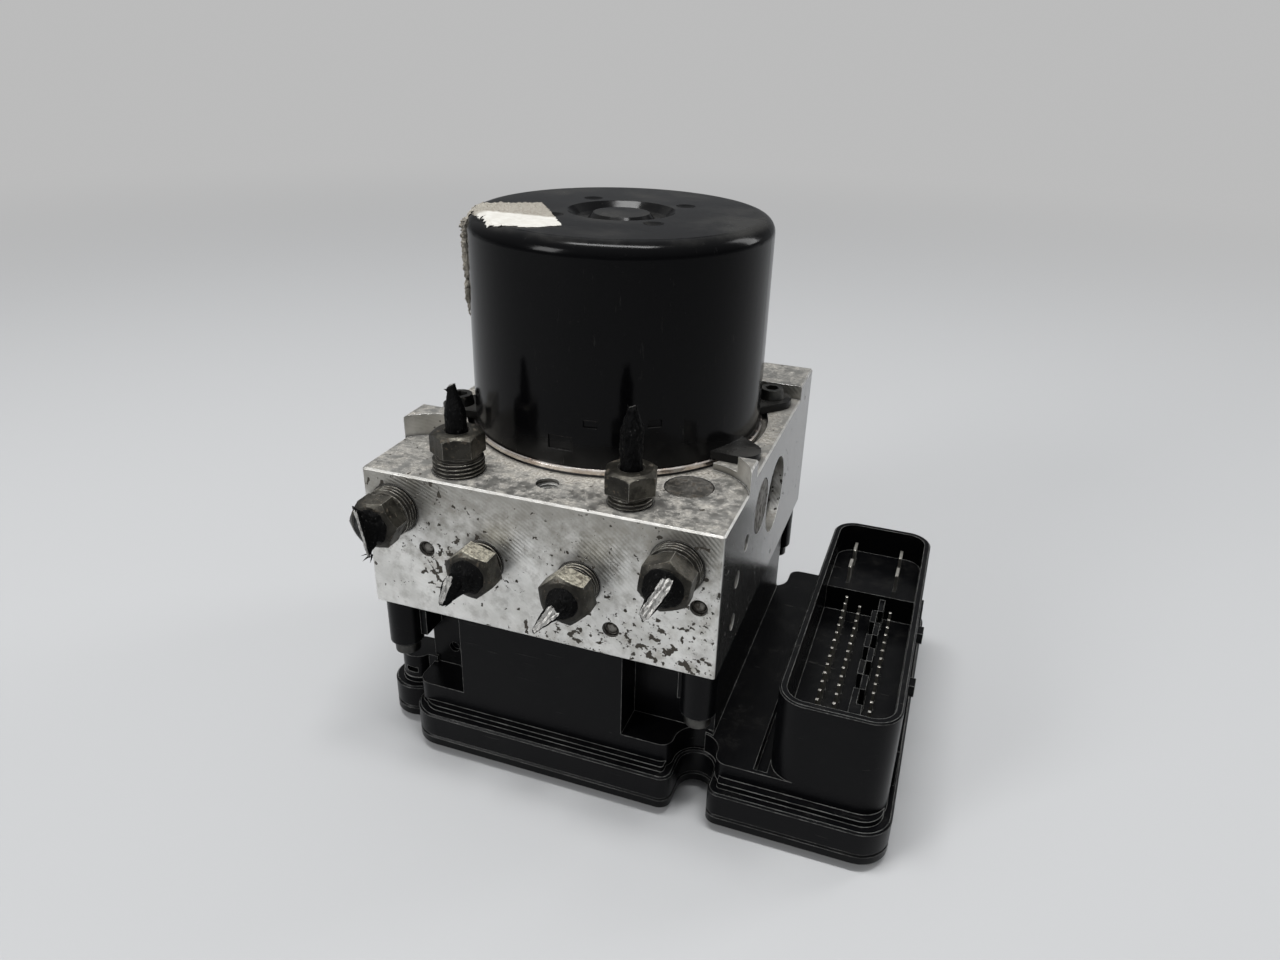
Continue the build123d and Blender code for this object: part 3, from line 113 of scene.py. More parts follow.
class Nodes:
    """A node tree built by short calls.  Its lengths are millimetres."""

    def __init__(self, tree):
        self.tree = tree
        coords = self.make("ShaderNodeTexCoord")
        self.normal = coords.outputs["Normal"]
        self.generated = coords.outputs["Generated"]
        self.place = self.vector("SCALE", coords.outputs["Object"], PER_METRE)

    def make(self, kind, **settings):
        """A new node with these settings."""
        node = self.tree.nodes.new(kind)
        for key, value in settings.items():
            setattr(node, key, value)
        return node

    def feed(self, socket, value):
        """Link an output to a socket, or write a constant on it."""
        if isinstance(value, bpy.types.NodeSocket):
            self.tree.links.new(value, socket)
        elif isinstance(value, (tuple, list)) and len(value) == 3 and socket.type == "RGBA":
            socket.default_value = (*value, 1.0)
        else:
            socket.default_value = value

    def join(self, kind, inputs, output=0, **settings):
        """One output of a new node, whose inputs are given by name or number."""
        node = self.make(kind, **settings)
        for key, value in inputs.items():
            self.feed(node.inputs[key], value)
        return node.outputs[output]

    def vector(self, operation, first, second):
        key = "Scale" if operation == "SCALE" else 1
        output = "Value" if operation in ("DOT_PRODUCT", "DISTANCE") else "Vector"
        return self.join("ShaderNodeVectorMath", {0: first, key: second}, output, operation=operation)

    def axes(self, source=None):
        """The three numbers of a vector, by default of the place in the frame."""
        node = self.make("ShaderNodeSeparateXYZ")
        self.feed(node.inputs[0], source or self.place)
        return node.outputs

    def maths(self, operation, first, *others):
        """The numbers taken together, one after the other."""
        for other in others:
            first = self.join("ShaderNodeMath", {0: first, 1: other}, operation=operation)
        return first

    def plus(self, *values):
        return self.maths("ADD", *values)

    def minus(self, *values):
        return self.maths("SUBTRACT", *values)

    def times(self, *values):
        return self.maths("MULTIPLY", *values)

    def most(self, *values):
        return self.maths("MAXIMUM", *values)

    def waves(self, length, period):
        """A sine from -1 to 1 that comes round once in each period."""
        return self.maths("SINE", self.times(length, 2.0 * math.pi / period), 0.0)

    def noise(self, size, detail=3.0, rough=0.55, stretch=None, warp=0.0, shift=0.0):
        """Cloudy noise around 0.5, with features of about `size` mm."""
        source = self.place
        if stretch or shift:
            source = self.vector("MULTIPLY", source, stretch or (1.0, 1.0, 1.0))
            source = self.vector("ADD", source, (shift, shift, shift))
        inputs = {"Vector": source, "Scale": 1.0 / size, "Detail": detail, "Roughness": rough}
        return self.join("ShaderNodeTexNoise", {**inputs, "Distortion": warp})

    def step(self, value, low, high, start=0.0, end=1.0, shape="SMOOTHSTEP"):
        """A soft step from `start` to `end` as the value goes from low to high."""
        inputs = dict(enumerate((value, low, high, start, end)))
        return self.join("ShaderNodeMapRange", inputs, interpolation_type=shape)

    def mix(self, share, first, second):
        """A colour between two, by a share from 0 to 1."""
        return self.join("ShaderNodeMix", {0: share, 6: first, 7: second}, 2, data_type="RGBA")

    def blend(self, share, first, second):
        """A number between two, by a share from 0 to 1."""
        return self.join("ShaderNodeMix", {0: share, 2: first, 3: second}, data_type="FLOAT")

    def reach(self, point):
        """The distance from a point in the frame."""
        return self.vector("DISTANCE", self.place, point)

    def ball(self, centre, inner, outer):
        """1 within `inner` mm of a point, fading to 0 at `outer`."""
        return self.step(self.reach(centre), inner, outer, 1.0, 0.0)

    def facing_up(self):
        """1 where the surface faces up, 0 where it leans over."""
        return self.step(self.axes(self.normal)[2], 0.5, 0.95)

    def rounded(self, radius):
        """The normal of the shape with its edges rounded by `radius` mm."""
        return self.join("ShaderNodeBevel", {"Radius": radius * MM}, samples=4)

    def edges(self, soft_normal, full=0.75):
        """1 along the edges that the rounded normal shows, 0 on open faces."""
        plain = self.make("ShaderNodeNewGeometry").outputs["Normal"]
        return self.step(self.vector("DOT_PRODUCT", soft_normal, plain), 0.98, full)

    def occlusion_shade(self, reach, open_share=0.92, closed_share=0.45):
        """1 deep in corners and grooves narrower than about `reach` mm, 0 in the open: the mask for painted
        shade.
        """
        open_air = self.join("ShaderNodeAmbientOcclusion", {"Distance": reach * MM}, "AO", samples=6)
        return self.step(open_air, open_share, closed_share)

    def bump(self, height, depth, normal=None):
        """A normal whose relief is `depth` mm for a height of 1."""
        inputs = {"Distance": depth * MM, "Height": height}
        if normal is not None:
            inputs["Normal"] = normal
        return self.join("ShaderNodeBump", inputs)


class Paint(Nodes):
    """A procedural material, whose colour is laid on in layers."""

    def __init__(self, name, **constants):
        self.name = name
        self.material = bpy.data.materials.new(name)
        self.material.use_nodes = True
        super().__init__(self.material.node_tree)
        self.shader = self.tree.nodes["Principled BSDF"]
        for socket, value in constants.items():
            self.set(socket.replace("_", " "), value)

    def set(self, name, value):
        self.feed(self.shader.inputs[name], value)

    def ground(self, share, first, second):
        """Start with a colour between two, by a share from 0 to 1."""
        self.colour = self.mix(share, first, second)

    def cover(self, tone, share, strength=None):
        """Lay a colour over what is there, by a share from 0 to 1, times a strength if given."""
        if strength is not None:
            share = self.times(share, strength)
        self.colour = self.mix(share, self.colour, tone)

    def finish(self, roughness, normal):
        """Give the shader its three main inputs."""
        self.set("Base Color", self.colour)
        self.set("Roughness", roughness)
        self.set("Normal", normal)
        return self


# ---- the block and its plugs

ports = [(origin, size) for origin, _, _, _, size, _, _ in fittings.values()]
port_shade_width = 0.5
front_cutter = (-75.0, block_front, -40.0)
top_cutter = (-31.0, -130.0, shelf_z)
pitted_spot = (-24.0, block_front, 56.5)


def block_ground(paint, z, up, right, front, blotch):
    """Bare aluminium in two pale tones, stained in blotches, with painted shade darkening the top and a
    painted dark reflection darkening the right.
    """
    pale, paler, stained = (0.62, 0.615, 0.59), (0.82, 0.815, 0.79), (0.36, 0.35, 0.325)
    top_painted_shade, shaded, right_painted_reflection = (0.25, 0.24, 0.218), (0.24, 0.228, 0.20), (0.12, 0.12, 0.117)
    paint.ground(paint.step(paint.noise(9.0, 5.0, 0.6), 0.3, 0.7), pale, paler)
    paint.cover(stained, paint.step(blotch, 0.46, 0.7, 0.0, 0.5))
    # Painted shade: faces that look up are darkened
    paint.cover(top_painted_shade, up, 0.7)
    # Painted shade: the port face gets darker towards its top
    shade = paint.plus(paint.times(z, 0.05), paint.times(blotch, 1.6))
    paint.cover(shaded, paint.step(shade, 3.6, 4.7, 0.0, 0.75), front)
    # Painted dark reflection: faces that look right are darkened
    paint.cover(right_painted_reflection, right, 0.85)


def block_crust(paint, up):
    """How thick the tan crust lies on the top, most in front of the motor, and its crumbs."""
    round_motor = paint.step(paint.reach((0.0, 0.0, shelf_z)), 47.0, 38.5)
    crust = paint.plus(paint.noise(3.2, 8.0, 0.8, shift=7.0), paint.times(round_motor, 0.13))
    return paint.times(paint.step(crust, 0.40, 0.72), up), paint.noise(0.7, 4.0, 0.7, shift=19.0)


def block_crowd(paint, x, z, front):
    """Where pits gather on the port face: near the nuts, and low on the right."""
    near = paint.most(*[paint.ball(point, size * 0.5, size * 1.35) for point, size in ports])
    low = paint.step(paint.minus(paint.times(x, 0.45), z), -58.0, -32.0)
    crowd = paint.plus(paint.most(paint.times(near, 0.5), low), paint.ball(pitted_spot, 3.0, 9.0))
    crowd = paint.plus(paint.maths("MINIMUM", crowd, 1.0), 0.15)
    return paint.times(crowd, paint.step(paint.noise(7.0, 2.0, shift=3.0), 0.25, 0.55), front)


def block_pits(paint, crowd):
    """Corrosion pits: ragged patches where they crowd, and sparse fine specks."""
    patch = paint.plus(paint.noise(1.9, 4.0, 0.5, shift=13.0), paint.times(crowd, 0.135))
    speck = paint.plus(paint.noise(0.8, 2.0, 0.5, shift=41.0), paint.times(crowd, 0.1))
    return paint.most(paint.step(patch, 0.69, 0.72), paint.step(speck, 0.745, 0.785))


def port_shade_rings(paint):
    """A ring of painted shade round each port, standing in for the dark gap at its mouth."""
    inner, outer = port_shade_width * 0.35, port_shade_width
    return [paint.ball(point, size / 2 + inner, size / 2 + outer) for point, size in ports]


def block_relief(paint, up, front, grain, pits, lumps):
    """The height of the surface: grain, arcs of the milling cutter, scratches, pits and crust."""
    front_arcs = paint.waves(paint.reach(front_cutter), 0.9)
    arcs = paint.blend(up, front_arcs, paint.waves(paint.reach(top_cutter), 1.3))
    marked = paint.plus(paint.times(front, 0.3), paint.times(up, 0.15))
    scratch = paint.noise(0.5, 2.0, 0.5, stretch=(0.9, 0.9, 0.07), warp=0.4, shift=6.0)
    height = paint.plus(paint.times(grain, 0.45), paint.times(arcs, marked))
    height = paint.minus(height, paint.times(pits, 1.6), paint.times(paint.step(scratch, 0.66, 0.72), 0.25))
    return paint.plus(height, paint.times(lumps, 2.2))


def block_material():
    """Machined aluminium: fine grain, milling arcs, tan deposits, and dark corrosion pits."""
    crumb_dark, crumb_pale = (0.19, 0.17, 0.14), (0.56, 0.53, 0.47)
    stain_brown, pit_brown = (0.30, 0.275, 0.225), (0.040, 0.034, 0.026)
    shade_black, worn_edge_highlight = (0.028, 0.025, 0.021), (0.80, 0.80, 0.78)
    paint = Paint("block_aluminium")
    x, _, z = paint.axes()
    facing_x, facing_y, facing_z = paint.axes(paint.normal)
    up = paint.step(facing_z, 0.6, 0.9)
    right = paint.step(facing_x, 0.6, 0.9)
    front = paint.step(facing_y, -0.6, -0.9)
    soft = paint.rounded(0.2)
    grain = paint.noise(0.4, 4.0, 0.7)
    block_ground(paint, z, up, right, front, paint.noise(2.6, 5.0, 0.65, shift=31.0))
    tan, crumbs = block_crust(paint, up)
    paint.cover(paint.mix(paint.step(crumbs, 0.42, 0.62), crumb_dark, crumb_pale), tan, 0.8)
    crowd = block_crowd(paint, x, z, front)
    pits = block_pits(paint, crowd)
    stain = paint.times(crowd, paint.step(paint.noise(3.4, 4.0, 0.6, shift=2.0), 0.45, 0.7))
    paint.cover(stain_brown, stain, 0.45)
    paint.cover(pit_brown, pits)
    # Painted shade: black in a ring round each port and in corners and grooves
    dirt_and_shade = paint.most(*port_shade_rings(paint), paint.occlusion_shade(1.6))
    paint.cover(shade_black, dirt_and_shade)
    # Pale edges: wear, and a painted highlight along them
    paint.cover(worn_edge_highlight, paint.edges(soft), 0.85)
    rough = paint.blend(right, paint.blend(grain, 0.30, 0.46), paint.blend(grain, 0.14, 0.26))
    dull = paint.most(tan, paint.most(pits, dirt_and_shade))
    paint.set("Metallic", paint.blend(dull, 0.9, 0.1))
    height = block_relief(paint, up, front, grain, pits, paint.times(tan, crumbs))
    return paint.finish(paint.blend(dull, rough, 0.8), paint.bump(height, 0.05, soft))


def metal_material(name, dark, light, rough, grain, relief, stain, stain_from):
    """A worn metal between two colours, with an uneven finish, stains and painted shade in its corners and
    grooves.
    """
    crevice_shade_black = (0.02, 0.017, 0.014)
    paint = Paint(name)
    fine = paint.noise(grain * 0.4, 3.0, 0.65, shift=5.0)
    spots = paint.step(paint.noise(grain * 1.6, 5.0, 0.62, shift=17.0), stain_from, stain_from + 0.12)
    paint.ground(paint.step(paint.noise(grain * 5.0, 4.0, 0.6), 0.3, 0.7), dark, light)
    paint.cover(stain, spots)
    # Painted shade in corners and grooves
    paint.cover(crevice_shade_black, paint.occlusion_shade(0.8))
    paint.set("Metallic", paint.minus(1.0, paint.times(spots, 0.8)))
    roughness = paint.blend(spots, paint.blend(fine, *rough), 0.85)
    return paint.finish(roughness, paint.bump(fine, relief, paint.rounded(0.15)))


# Cream deposits on the upper flats of the two middle nuts
cream_spots = [(-11.3, -57.5, 66.0), (12.5, -58.5, 66.0)]


def nut_material():
    """Zinc-plated steel gone dull: dark olive, cream where it faces up, painted shade in its grooves, and
    pale edges that are worn and painted highlight.
    """
    dark_olive, olive, end_black = (0.028, 0.026, 0.022), (0.10, 0.094, 0.079), (0.018, 0.017, 0.015)
    cream_white, rust_brown = (0.50, 0.47, 0.38), (0.06, 0.045, 0.028)
    worn_edge_highlight, crevice_shade_black = (0.62, 0.60, 0.54), (0.014, 0.012, 0.010)
    paint = Paint("nut_steel")
    edge = paint.edges(paint.rounded(0.22), 0.84)
    groove_shade = paint.occlusion_shade(0.8, 0.88, 0.4)
    _, facing_y, facing_z = paint.axes(paint.normal)
    fine = paint.noise(0.38, 4.0, 0.7, shift=9.0)
    paint.ground(paint.step(paint.noise(3.2, 5.0, 0.62), 0.32, 0.68), dark_olive, olive)
    paint.cover(end_black, paint.step(facing_y, -0.6, -0.95, 0.0, 0.75))
    flakes = paint.step(paint.noise(0.9, 6.0, 0.8, shift=33.0), 0.36, 0.62, 0.15, 0.9)
    cream = paint.most(*[paint.ball(spot, 4.0, 8.5) for spot in cream_spots])
    cream = paint.times(cream, paint.step(facing_z, 0.45, 0.8), flakes)
    paint.cover(cream_white, cream)
    rust = paint.step(paint.noise(1.3, 5.0, 0.66, shift=21.0), 0.57, 0.67)
    paint.cover(rust_brown, rust, 0.8)
    # Pale edges: wear, and a painted highlight along them
    paint.cover(worn_edge_highlight, edge, 0.75)
    # Painted shade: black in the grooves and corners
    paint.cover(crevice_shade_black, groove_shade)
    dull = paint.most(rust, groove_shade, paint.times(cream, 0.6))
    paint.set("Metallic", paint.blend(dull, 0.9, 0.1))
    roughness = paint.blend(dull, paint.blend(fine, 0.30, 0.50), 0.8)
    height = paint.minus(fine, paint.times(rust, 0.7))
    return paint.finish(roughness, paint.bump(height, 0.06, paint.rounded(0.07)))


# ---- motor


def can_material():
    """Gloss black paint with orange peel, dust, and fine scuffs near the foot."""
    gloss_black, dusty = (0.0015, 0.0015, 0.0018), (0.075, 0.073, 0.068)
    paint = Paint("can_paint", Specular_IOR_Level=0.1)
    up = paint.facing_up()
    dust = paint.step(paint.noise(0.9, 6.0, 0.75, shift=4.0), 0.63, 0.74)
    cloud = paint.step(paint.noise(16.0, 4.0, 0.6, shift=8.0), 0.35, 0.7)
    scuff = paint.step(paint.noise(1.2, 4.0, 0.6, stretch=(1.0, 1.0, 0.16), shift=2.0), 0.66, 0.72)
    foot = paint.step(paint.axes()[2], can_base + 9.0, can_base)
    film = paint.times(cloud, paint.blend(up, 0.05, 0.45))
    film = paint.plus(film, paint.times(foot, 0.25), paint.times(dust, 0.35), paint.times(scuff, 0.2))
    paint.ground(paint.step(film, 0.0, 1.2), gloss_black, dusty)
    peel = paint.bump(paint.noise(1.6, 2.0, 0.5), 0.014, paint.rounded(0.25))
    return paint.finish(paint.step(film, 0.0, 1.0, 0.15, 0.45), peel)


def paper_material():
    """Torn label: smooth white paper in front, and behind it the fuzzy tan layer under it."""
    tan_dark, tan_pale, tan_dirt = (0.15, 0.13, 0.10), (0.66, 0.63, 0.56), (0.36, 0.33, 0.285)
    clean_white, white_dirt = (0.56, 0.55, 0.515), (0.36, 0.34, 0.295)
    paint = Paint("paper", Specular_IOR_Level=0.15)
    x, y, z = paint.axes()
    fibres = paint.noise(0.4, 5.0, 0.8, warp=1.5)
    dirt_and_shade = paint.step(paint.noise(2.0, 7.0, 0.75, shift=3.0), 0.36, 0.64)
    tan = paint.mix(paint.step(fibres, 0.32, 0.68), tan_dark, tan_pale)
    tan = paint.mix(paint.times(dirt_and_shade, 0.5), tan, tan_dirt)
    white = paint.mix(paint.times(dirt_and_shade, 0.35), clean_white, white_dirt)
    front = paint.plus(y, paint.times(paint.noise(3.0, 4.0, 0.6), 3.5))
    front = paint.times(
        paint.step(front, -14.2, -15.4), paint.step(x, -29.0, -26.5), paint.step(z, 129.5, 131.0)
    )
    paint.ground(front, tan, white)
    return paint.finish(0.95, paint.bump(paint.times(fibres, paint.blend(front, 1.0, 0.2)), 0.5))


# ---- control unit


def plastic_material(name, tone, rough, dust_share):
    """Moulded black plastic: a fine skin, dust in patches, pale edges that are partly rubbed and partly
    painted highlight, and scratches.
    """
    dusty, rubbed_highlight_grey = (0.15, 0.145, 0.13), (0.26, 0.26, 0.25)
    paint = Paint(name, Specular_IOR_Level=0.11)
    edge = paint.edges(paint.rounded(0.3), 0.86)
    dust = paint.step(paint.noise(7.0, 7.0, 0.72, shift=6.0), 0.36, 0.8)
    specks = paint.step(paint.noise(0.75, 5.0, 0.75, shift=15.0), 0.66, 0.76)
    scratch = paint.noise(0.5, 2.0, 0.5, stretch=(0.06, 0.35, 1.0), warp=0.6, shift=9.0)
    scratch = paint.step(scratch, 0.69, 0.73)
    film = paint.times(dust, paint.blend(paint.facing_up(), dust_share * 0.35, dust_share))
    # The edge share of the film is a painted highlight along the edges
    film = paint.plus(film, paint.times(specks, 0.22), paint.times(scratch, 0.16), paint.times(edge, 0.3))
    # Rubbed edges: wear, and a painted highlight
    rubbed_and_highlit = paint.times(edge, paint.step(paint.noise(3.0, 4.0, 0.7, shift=27.0), 0.38, 0.6, 0.25, 0.85))
    paint.ground(paint.step(film, 0.0, 1.2), tone, dusty)
    paint.cover(rubbed_highlight_grey, rubbed_and_highlit)
    skin = paint.bump(paint.noise(0.28, 3.0, 0.6), 0.03, paint.rounded(0.18))
    return paint.finish(paint.step(film, 0.0, 1.0, rough, rough + 0.3), skin)


# ---- inner pieces


def simple_material(name, dark, light, rough, size, metallic=0.0, relief=0.03):
    """An inner piece's finish: two tones in cloudy noise with a fine relief."""
    paint = Paint(name, Metallic=metallic)
    paint.ground(paint.step(paint.noise(size, 4.0, 0.6), 0.3, 0.7), dark, light)
    fine = paint.noise(size * 0.15, 3.0, 0.6, shift=4.0)
    return paint.finish(paint.blend(fine, rough, rough + 0.2), paint.bump(fine, relief, paint.rounded(0.15)))


def ridged_material(name, dark, light, rough, size, pitch, relief):
    """Metal in fine level ridges: the turns of a winding, or stacked sheet steel."""
    paint = Paint(name, Metallic=1.0)
    cloud = paint.noise(size, 3.0)
    paint.ground(cloud, dark, light)
    return paint.finish(paint.blend(cloud, *rough), paint.bump(paint.waves(paint.axes()[2], pitch), relief))


# ---- crushed pipes


def coating_material():
    """The black coating of the brake pipes, crazed and scuffed by the cutters, its pale scuffs also painted
    glints.
    """
    black, scuffed_and_glint = (0.0015, 0.0015, 0.0016), (0.16, 0.16, 0.15)
    paint = Paint("pipe_coating", Specular_IOR_Level=0.07)
    creases = paint.noise(0.7, 4.0, 0.7, stretch=(1.0, 0.6, 0.6), warp=0.9)
    scuff = paint.step(paint.noise(0.45, 5.0, 0.7, stretch=(1.0, 1.0, 0.4), shift=12.0), 0.63, 0.70)
    # Pale scuffs: scratches, and painted glints
    paint.ground(paint.times(scuff, 0.6), black, scuffed_and_glint)
    return paint.finish(paint.blend(creases, 0.25, 0.75), paint.bump(creases, 0.4))


def cut_material():
    """Sheared pipe steel, pale grey with darker streaks and painted shade in its crevices."""
    grey, pale = (0.20, 0.195, 0.185), (0.70, 0.69, 0.66)
    streak, crevice_shade_black = (0.09, 0.085, 0.08), (0.02, 0.018, 0.017)
    paint = Paint("cut_steel", Metallic=1.0)
    cloud = paint.noise(0.9, 4.0, 0.65)
    dark = paint.step(paint.noise(0.6, 4.0, 0.7, stretch=(1.0, 1.0, 0.45), shift=8.0), 0.48, 0.62)
    paint.ground(cloud, grey, pale)
    paint.cover(streak, dark, 0.7)
    # Painted shade in corners and grooves
    paint.cover(crevice_shade_black, paint.occlusion_shade(0.35, 0.8, 0.35))
    return paint.finish(paint.blend(cloud, 0.3, 0.55), paint.bump(cloud, 0.2))


# ---- mesh helpers


def smooth_mesh(name, points, faces, materials, kinds=None, sharp=35.0):
    """A smooth-shaded piece from points in millimetres, sharp where faces turn by more than `sharp`."""
    mesh = bpy.data.meshes.new(name)
    mesh.from_pydata([Vector(point) * MM for point in points], [], faces)
    mesh.validate()
    for material in materials:
        mesh.materials.append(material)
    mesh.shade_smooth()
    mesh.set_sharp_from_angle(angle=math.radians(sharp))
    if kinds:
        mesh.polygons.foreach_set("material_index", kinds)
    mesh.update()
    piece = bpy.data.objects.new(name, mesh)
    bpy.context.scene.collection.objects.link(piece)
    return piece


def tube_faces(rings, around, closed=False):
    """Quads between rings of `around` points, and back to the first ring if closed."""
    faces = []
    for ring in range(rings if closed else rings - 1):
        here = ring * around
        there = (ring + 1) % rings * around
        for index in range(around):
            following = (index + 1) % around
            faces.append((here + index, here + following, there + following, there + index))
    return faces


def capped_faces(rings, around):
    """The faces of a tube that is closed at both ends."""
    end = rings * around
    return tube_faces(rings, around) + [tuple(range(end - around, end)), tuple(reversed(range(around)))]


def angles(count):
    """The angles of `count` points round a circle."""
    return [2 * math.pi * index / count for index in range(count)]


def spoke(first, second, angle):
    """The direction at an angle from the first axis towards the second."""
    return first * math.cos(angle) + second * math.sin(angle)


def eased(value):
    """A soft step from 0 to 1."""
    value = min(1.0, max(0.0, value))
    return value * value * (3.0 - 2.0 * value)


# ---- pipe nuts

nut_around = 96
rings_per_pitch = 12
thread_shown_below = 1.6
top_chamfer_rings = 9
crown_radius = 4.75
crown_chamfer = 1.0
foot_chamfer = 0.35
bore_chamfer = 0.45
neck_depth = thread_depth * 1.1
neck_run_in = 0.15
neck_run_out = 0.12
neck_flare = 0.1
foot_step = 0.1
nick_depth = 0.09
nick_scale = 0.9


def hexagon_radius(angle, turn):
    """Distance from the axis to the side of the hexagon in this direction."""
    side = math.radians(60)
    offset = (angle - turn) % side - side / 2
    return hex_flats / 2 / math.cos(offset)


def thread_radius(height, angle, outer):
    """The turned thread, a blunt V that climbs once in each pitch."""
    phase = (height / thread_pitch - angle / (2 * math.pi)) % 1.0
    ridge = 1.0 - abs(2.0 * phase - 1.0)
    ridge = min(1.0, max(0.0, ridge * 1.5 - 0.15))
    return outer - thread_depth * (1.0 - ridge)


def nut_profile(size, shown):
    """The nut's rings from its inner end outward and back down its bore: (height, kind, value)."""
    crown = shown + hex_height
    outer = size / 2
    foot = shown - thread_length
    rings = [(foot, "round", outer - thread_depth), (foot + thread_depth, "round", outer - foot_step)]
    start = -thread_shown_below
    end = shown - neck_length
    count = round((end - start) / thread_pitch * rings_per_pitch)
    for index in range(count + 1):
        rings.append((start + (end - start) * index / count, "thread", outer))
    neck = outer - neck_depth
    rings += [(end + neck_run_in, "round", neck), (shown - neck_run_out, "round", neck)]
    rings.append((shown, "round", neck + neck_flare))
    rings += [(shown, "hex", -foot_chamfer), (shown + foot_chamfer, "hex", 0.0)]
    corner = hex_flats / math.sqrt(3)
    for index in range(top_chamfer_rings + 1):
        share = index / top_chamfer_rings
        limit = corner + (crown_radius - corner) * share
        rings.append((crown - crown_chamfer * (1.0 - share), "limit", limit))
    rings += [(crown, "round", nut_bore + bore_chamfer), (crown - bore_chamfer, "round", nut_bore)]
    rings.append((foot, "round", nut_bore))
    return rings


def nut_radius(kind, value, height, angle, turn):
    """The nut's radius in a direction, on a ring of this kind."""
    side = hexagon_radius(angle, turn)
    if kind == "thread":
        return thread_radius(height, angle, value)
    if kind == "hex":
        return side + value
    return min(side, value) if kind == "limit" else value


def nut_piece(name, material):
    """A hexagon nut with its turned chamfer, worn corners, undercut and cut thread."""
    origin, across, along, outward, size, shown, degrees = fittings[name]
    turn = math.radians(degrees)
    rings = nut_profile(size, shown)
    points = []
    for height, kind, value in rings:
        for step in angles(nut_around):
            angle = step + turn
            direction = spoke(across, along, angle)
            spot = origin + outward * height
            spot += direction * nut_radius(kind, value, height, angle, turn)
            if kind in ("hex", "limit"):
                spot -= direction * max(0.0, noise.noise(spot * nick_scale) * nick_depth)
            points.append(spot)
    faces = tube_faces(len(rings), nut_around, closed=True)
    piece = smooth_mesh(f"nut_{name}", points, faces, [material])
    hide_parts(f"pipe_nut_{name}")
    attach(piece, "root")


# ---- pipe stubs

stub_around = 72
stub_rings = 40
# How thick the black coating lies on the steel of the pipe
coat = 0.35
stub_clear = 0.05
stub_overlap = 0.3
fold_scale, fold_step = 2.2, 0.4
crease_scale, crease_step = 6.0, 1.3
steel_lift = 0.2
steel_grain = 0.2
groove_depth = 0.07
groove_step = 5.5
cap_scales = (0.965, 0.93, 0.89, 0.84, 0.77, 0.69, 0.6, 0.5, 0.4, 0.29, 0.18, 0.06)

# Each pipe has the radius of the coating bunched up in the nut, how far out it reaches, the
# radius behind it, the sideways lean, the length, the half widths of the cut, its turn in
# degrees and its slant, where across it the bare steel lies, how far its sides fall back,
# where the taper starts, how ragged it is, and how pointed the cut's far end is
fields = "collar reach neck lean_x lean_y length half_a half_b turn slant band fall start rag point"
Stub = namedtuple("Stub", fields)
stub_shapes = {
    "front_1": Stub(4.35, 0.3, 3.3, 0.5, 0.4, 3.9, 5.4, 0.62, 101.0, 0.0, (-0.7, 0.3), 0.5, 0.05, 0.13, 0.3),
    "front_2": Stub(4.2, 0.32, 2.8, -2.7, -2.0, 4.0, 3.5, 1.7, 71.0, -0.7, (-0.1, 1.0), 1.8, 0.1, 0.10, 0.3),
    "front_3": Stub(3.7, 0.5, 2.5, -2.0, -2.0, 4.6, 3.4, 1.75, 52.0, -1.1, (-0.7, 0.75), 1.1, 0.2, 0.09, 0.6),
    "front_4": Stub(4.6, 0.3, 2.9, -0.2, 0.0, 4.0, 4.8, 1.3, 62.0, -1.6, (-1.0, 1.0), 0.3, 0.1, 0.09, 0.1),
    "top_1": Stub(2.45, 0.3, 2.45, -0.9, 0.2, 10.3, 0.6, 0.7, 20.0, 0.5, (-0.5, 0.4), 0.3, 0.32, 0.07, 0.0),
    "top_2": Stub(2.4, 0.3, 2.4, 0.2, -0.7, 13.9, 0.7, 0.8, 10.0, 0.4, (-0.3, 0.2), 0.3, 0.60, 0.16, 0.0),
}


def stub_points(name, shift):
    """Rings of points along the crushed pipe, and over its cut face."""
    origin, across, along, outward, _, shown, _ = fittings[name]
    shape = stub_shapes[name]
    long_axis = spoke(across, along, math.radians(shape.turn))
    thin_axis = outward.cross(long_axis)
    base = shown + hex_height + stub_clear
    points = []

    def ring(share, scale=1.0):
        taper = eased((share - shape.start) / (1.0 - shape.start))
        bunch = (shape.collar - shape.neck) * (1.0 - eased(share / shape.reach))
        wide = shape.neck + (shape.half_a + coat - shape.neck) * taper + bunch
        thin = shape.neck + (shape.half_b + coat - shape.neck) * taper + bunch
        bend = share**1.6
        way = share * shape.length
        centre = origin + outward * (base + way)
        centre += across * shape.lean_x * bend
        centre += along * shape.lean_y * bend
        for angle in angles(stub_around):
            u, v = math.cos(angle), math.sin(angle)
            blunt = math.copysign(abs(v) ** (1.0 - 0.4 * taper), v)
            fold = noise.noise(Vector((u * fold_scale, v * fold_scale, way * fold_step + shift)))
            crease = noise.noise(Vector((u * crease_scale, v * crease_scale, way * crease_step + shift)))
            grow = scale * (1.0 + shape.rag * (1.0 + share) * (0.8 * fold + 0.5 * crease))
            narrow = 1.0 - shape.point * taper * eased((1.0 - u * grow) / 2.0)
            far, over = u * wide * grow, blunt * thin * grow * narrow
            low, high = shape.band
            outside = max(0.0, low - blunt * grow) + max(0.0, blunt * grow - high)
            lift = share**3 * (shape.slant * far / wide - shape.fall * outside)
            if scale < 1.0 and outside <= 0.02 and abs(far) < wide - coat:
                groove = groove_depth * math.cos(over * groove_step + 0.8)
                grain = steel_grain * noise.noise(Vector((far * 0.7, over * 3.2, shift)))
                lift += steel_lift + groove + grain
            points.append(centre + long_axis * far + thin_axis * over + outward * lift)

    for height in (shown - thread_length, base - stub_overlap):
        for angle in angles(stub_around):
            points.append(origin + outward * height + spoke(long_axis, thin_axis, angle) * pipe_radius)
    for index in range(stub_rings + 1):
        ring(index / stub_rings)
    for scale in cap_scales:
        ring(1.0, scale)
    return points


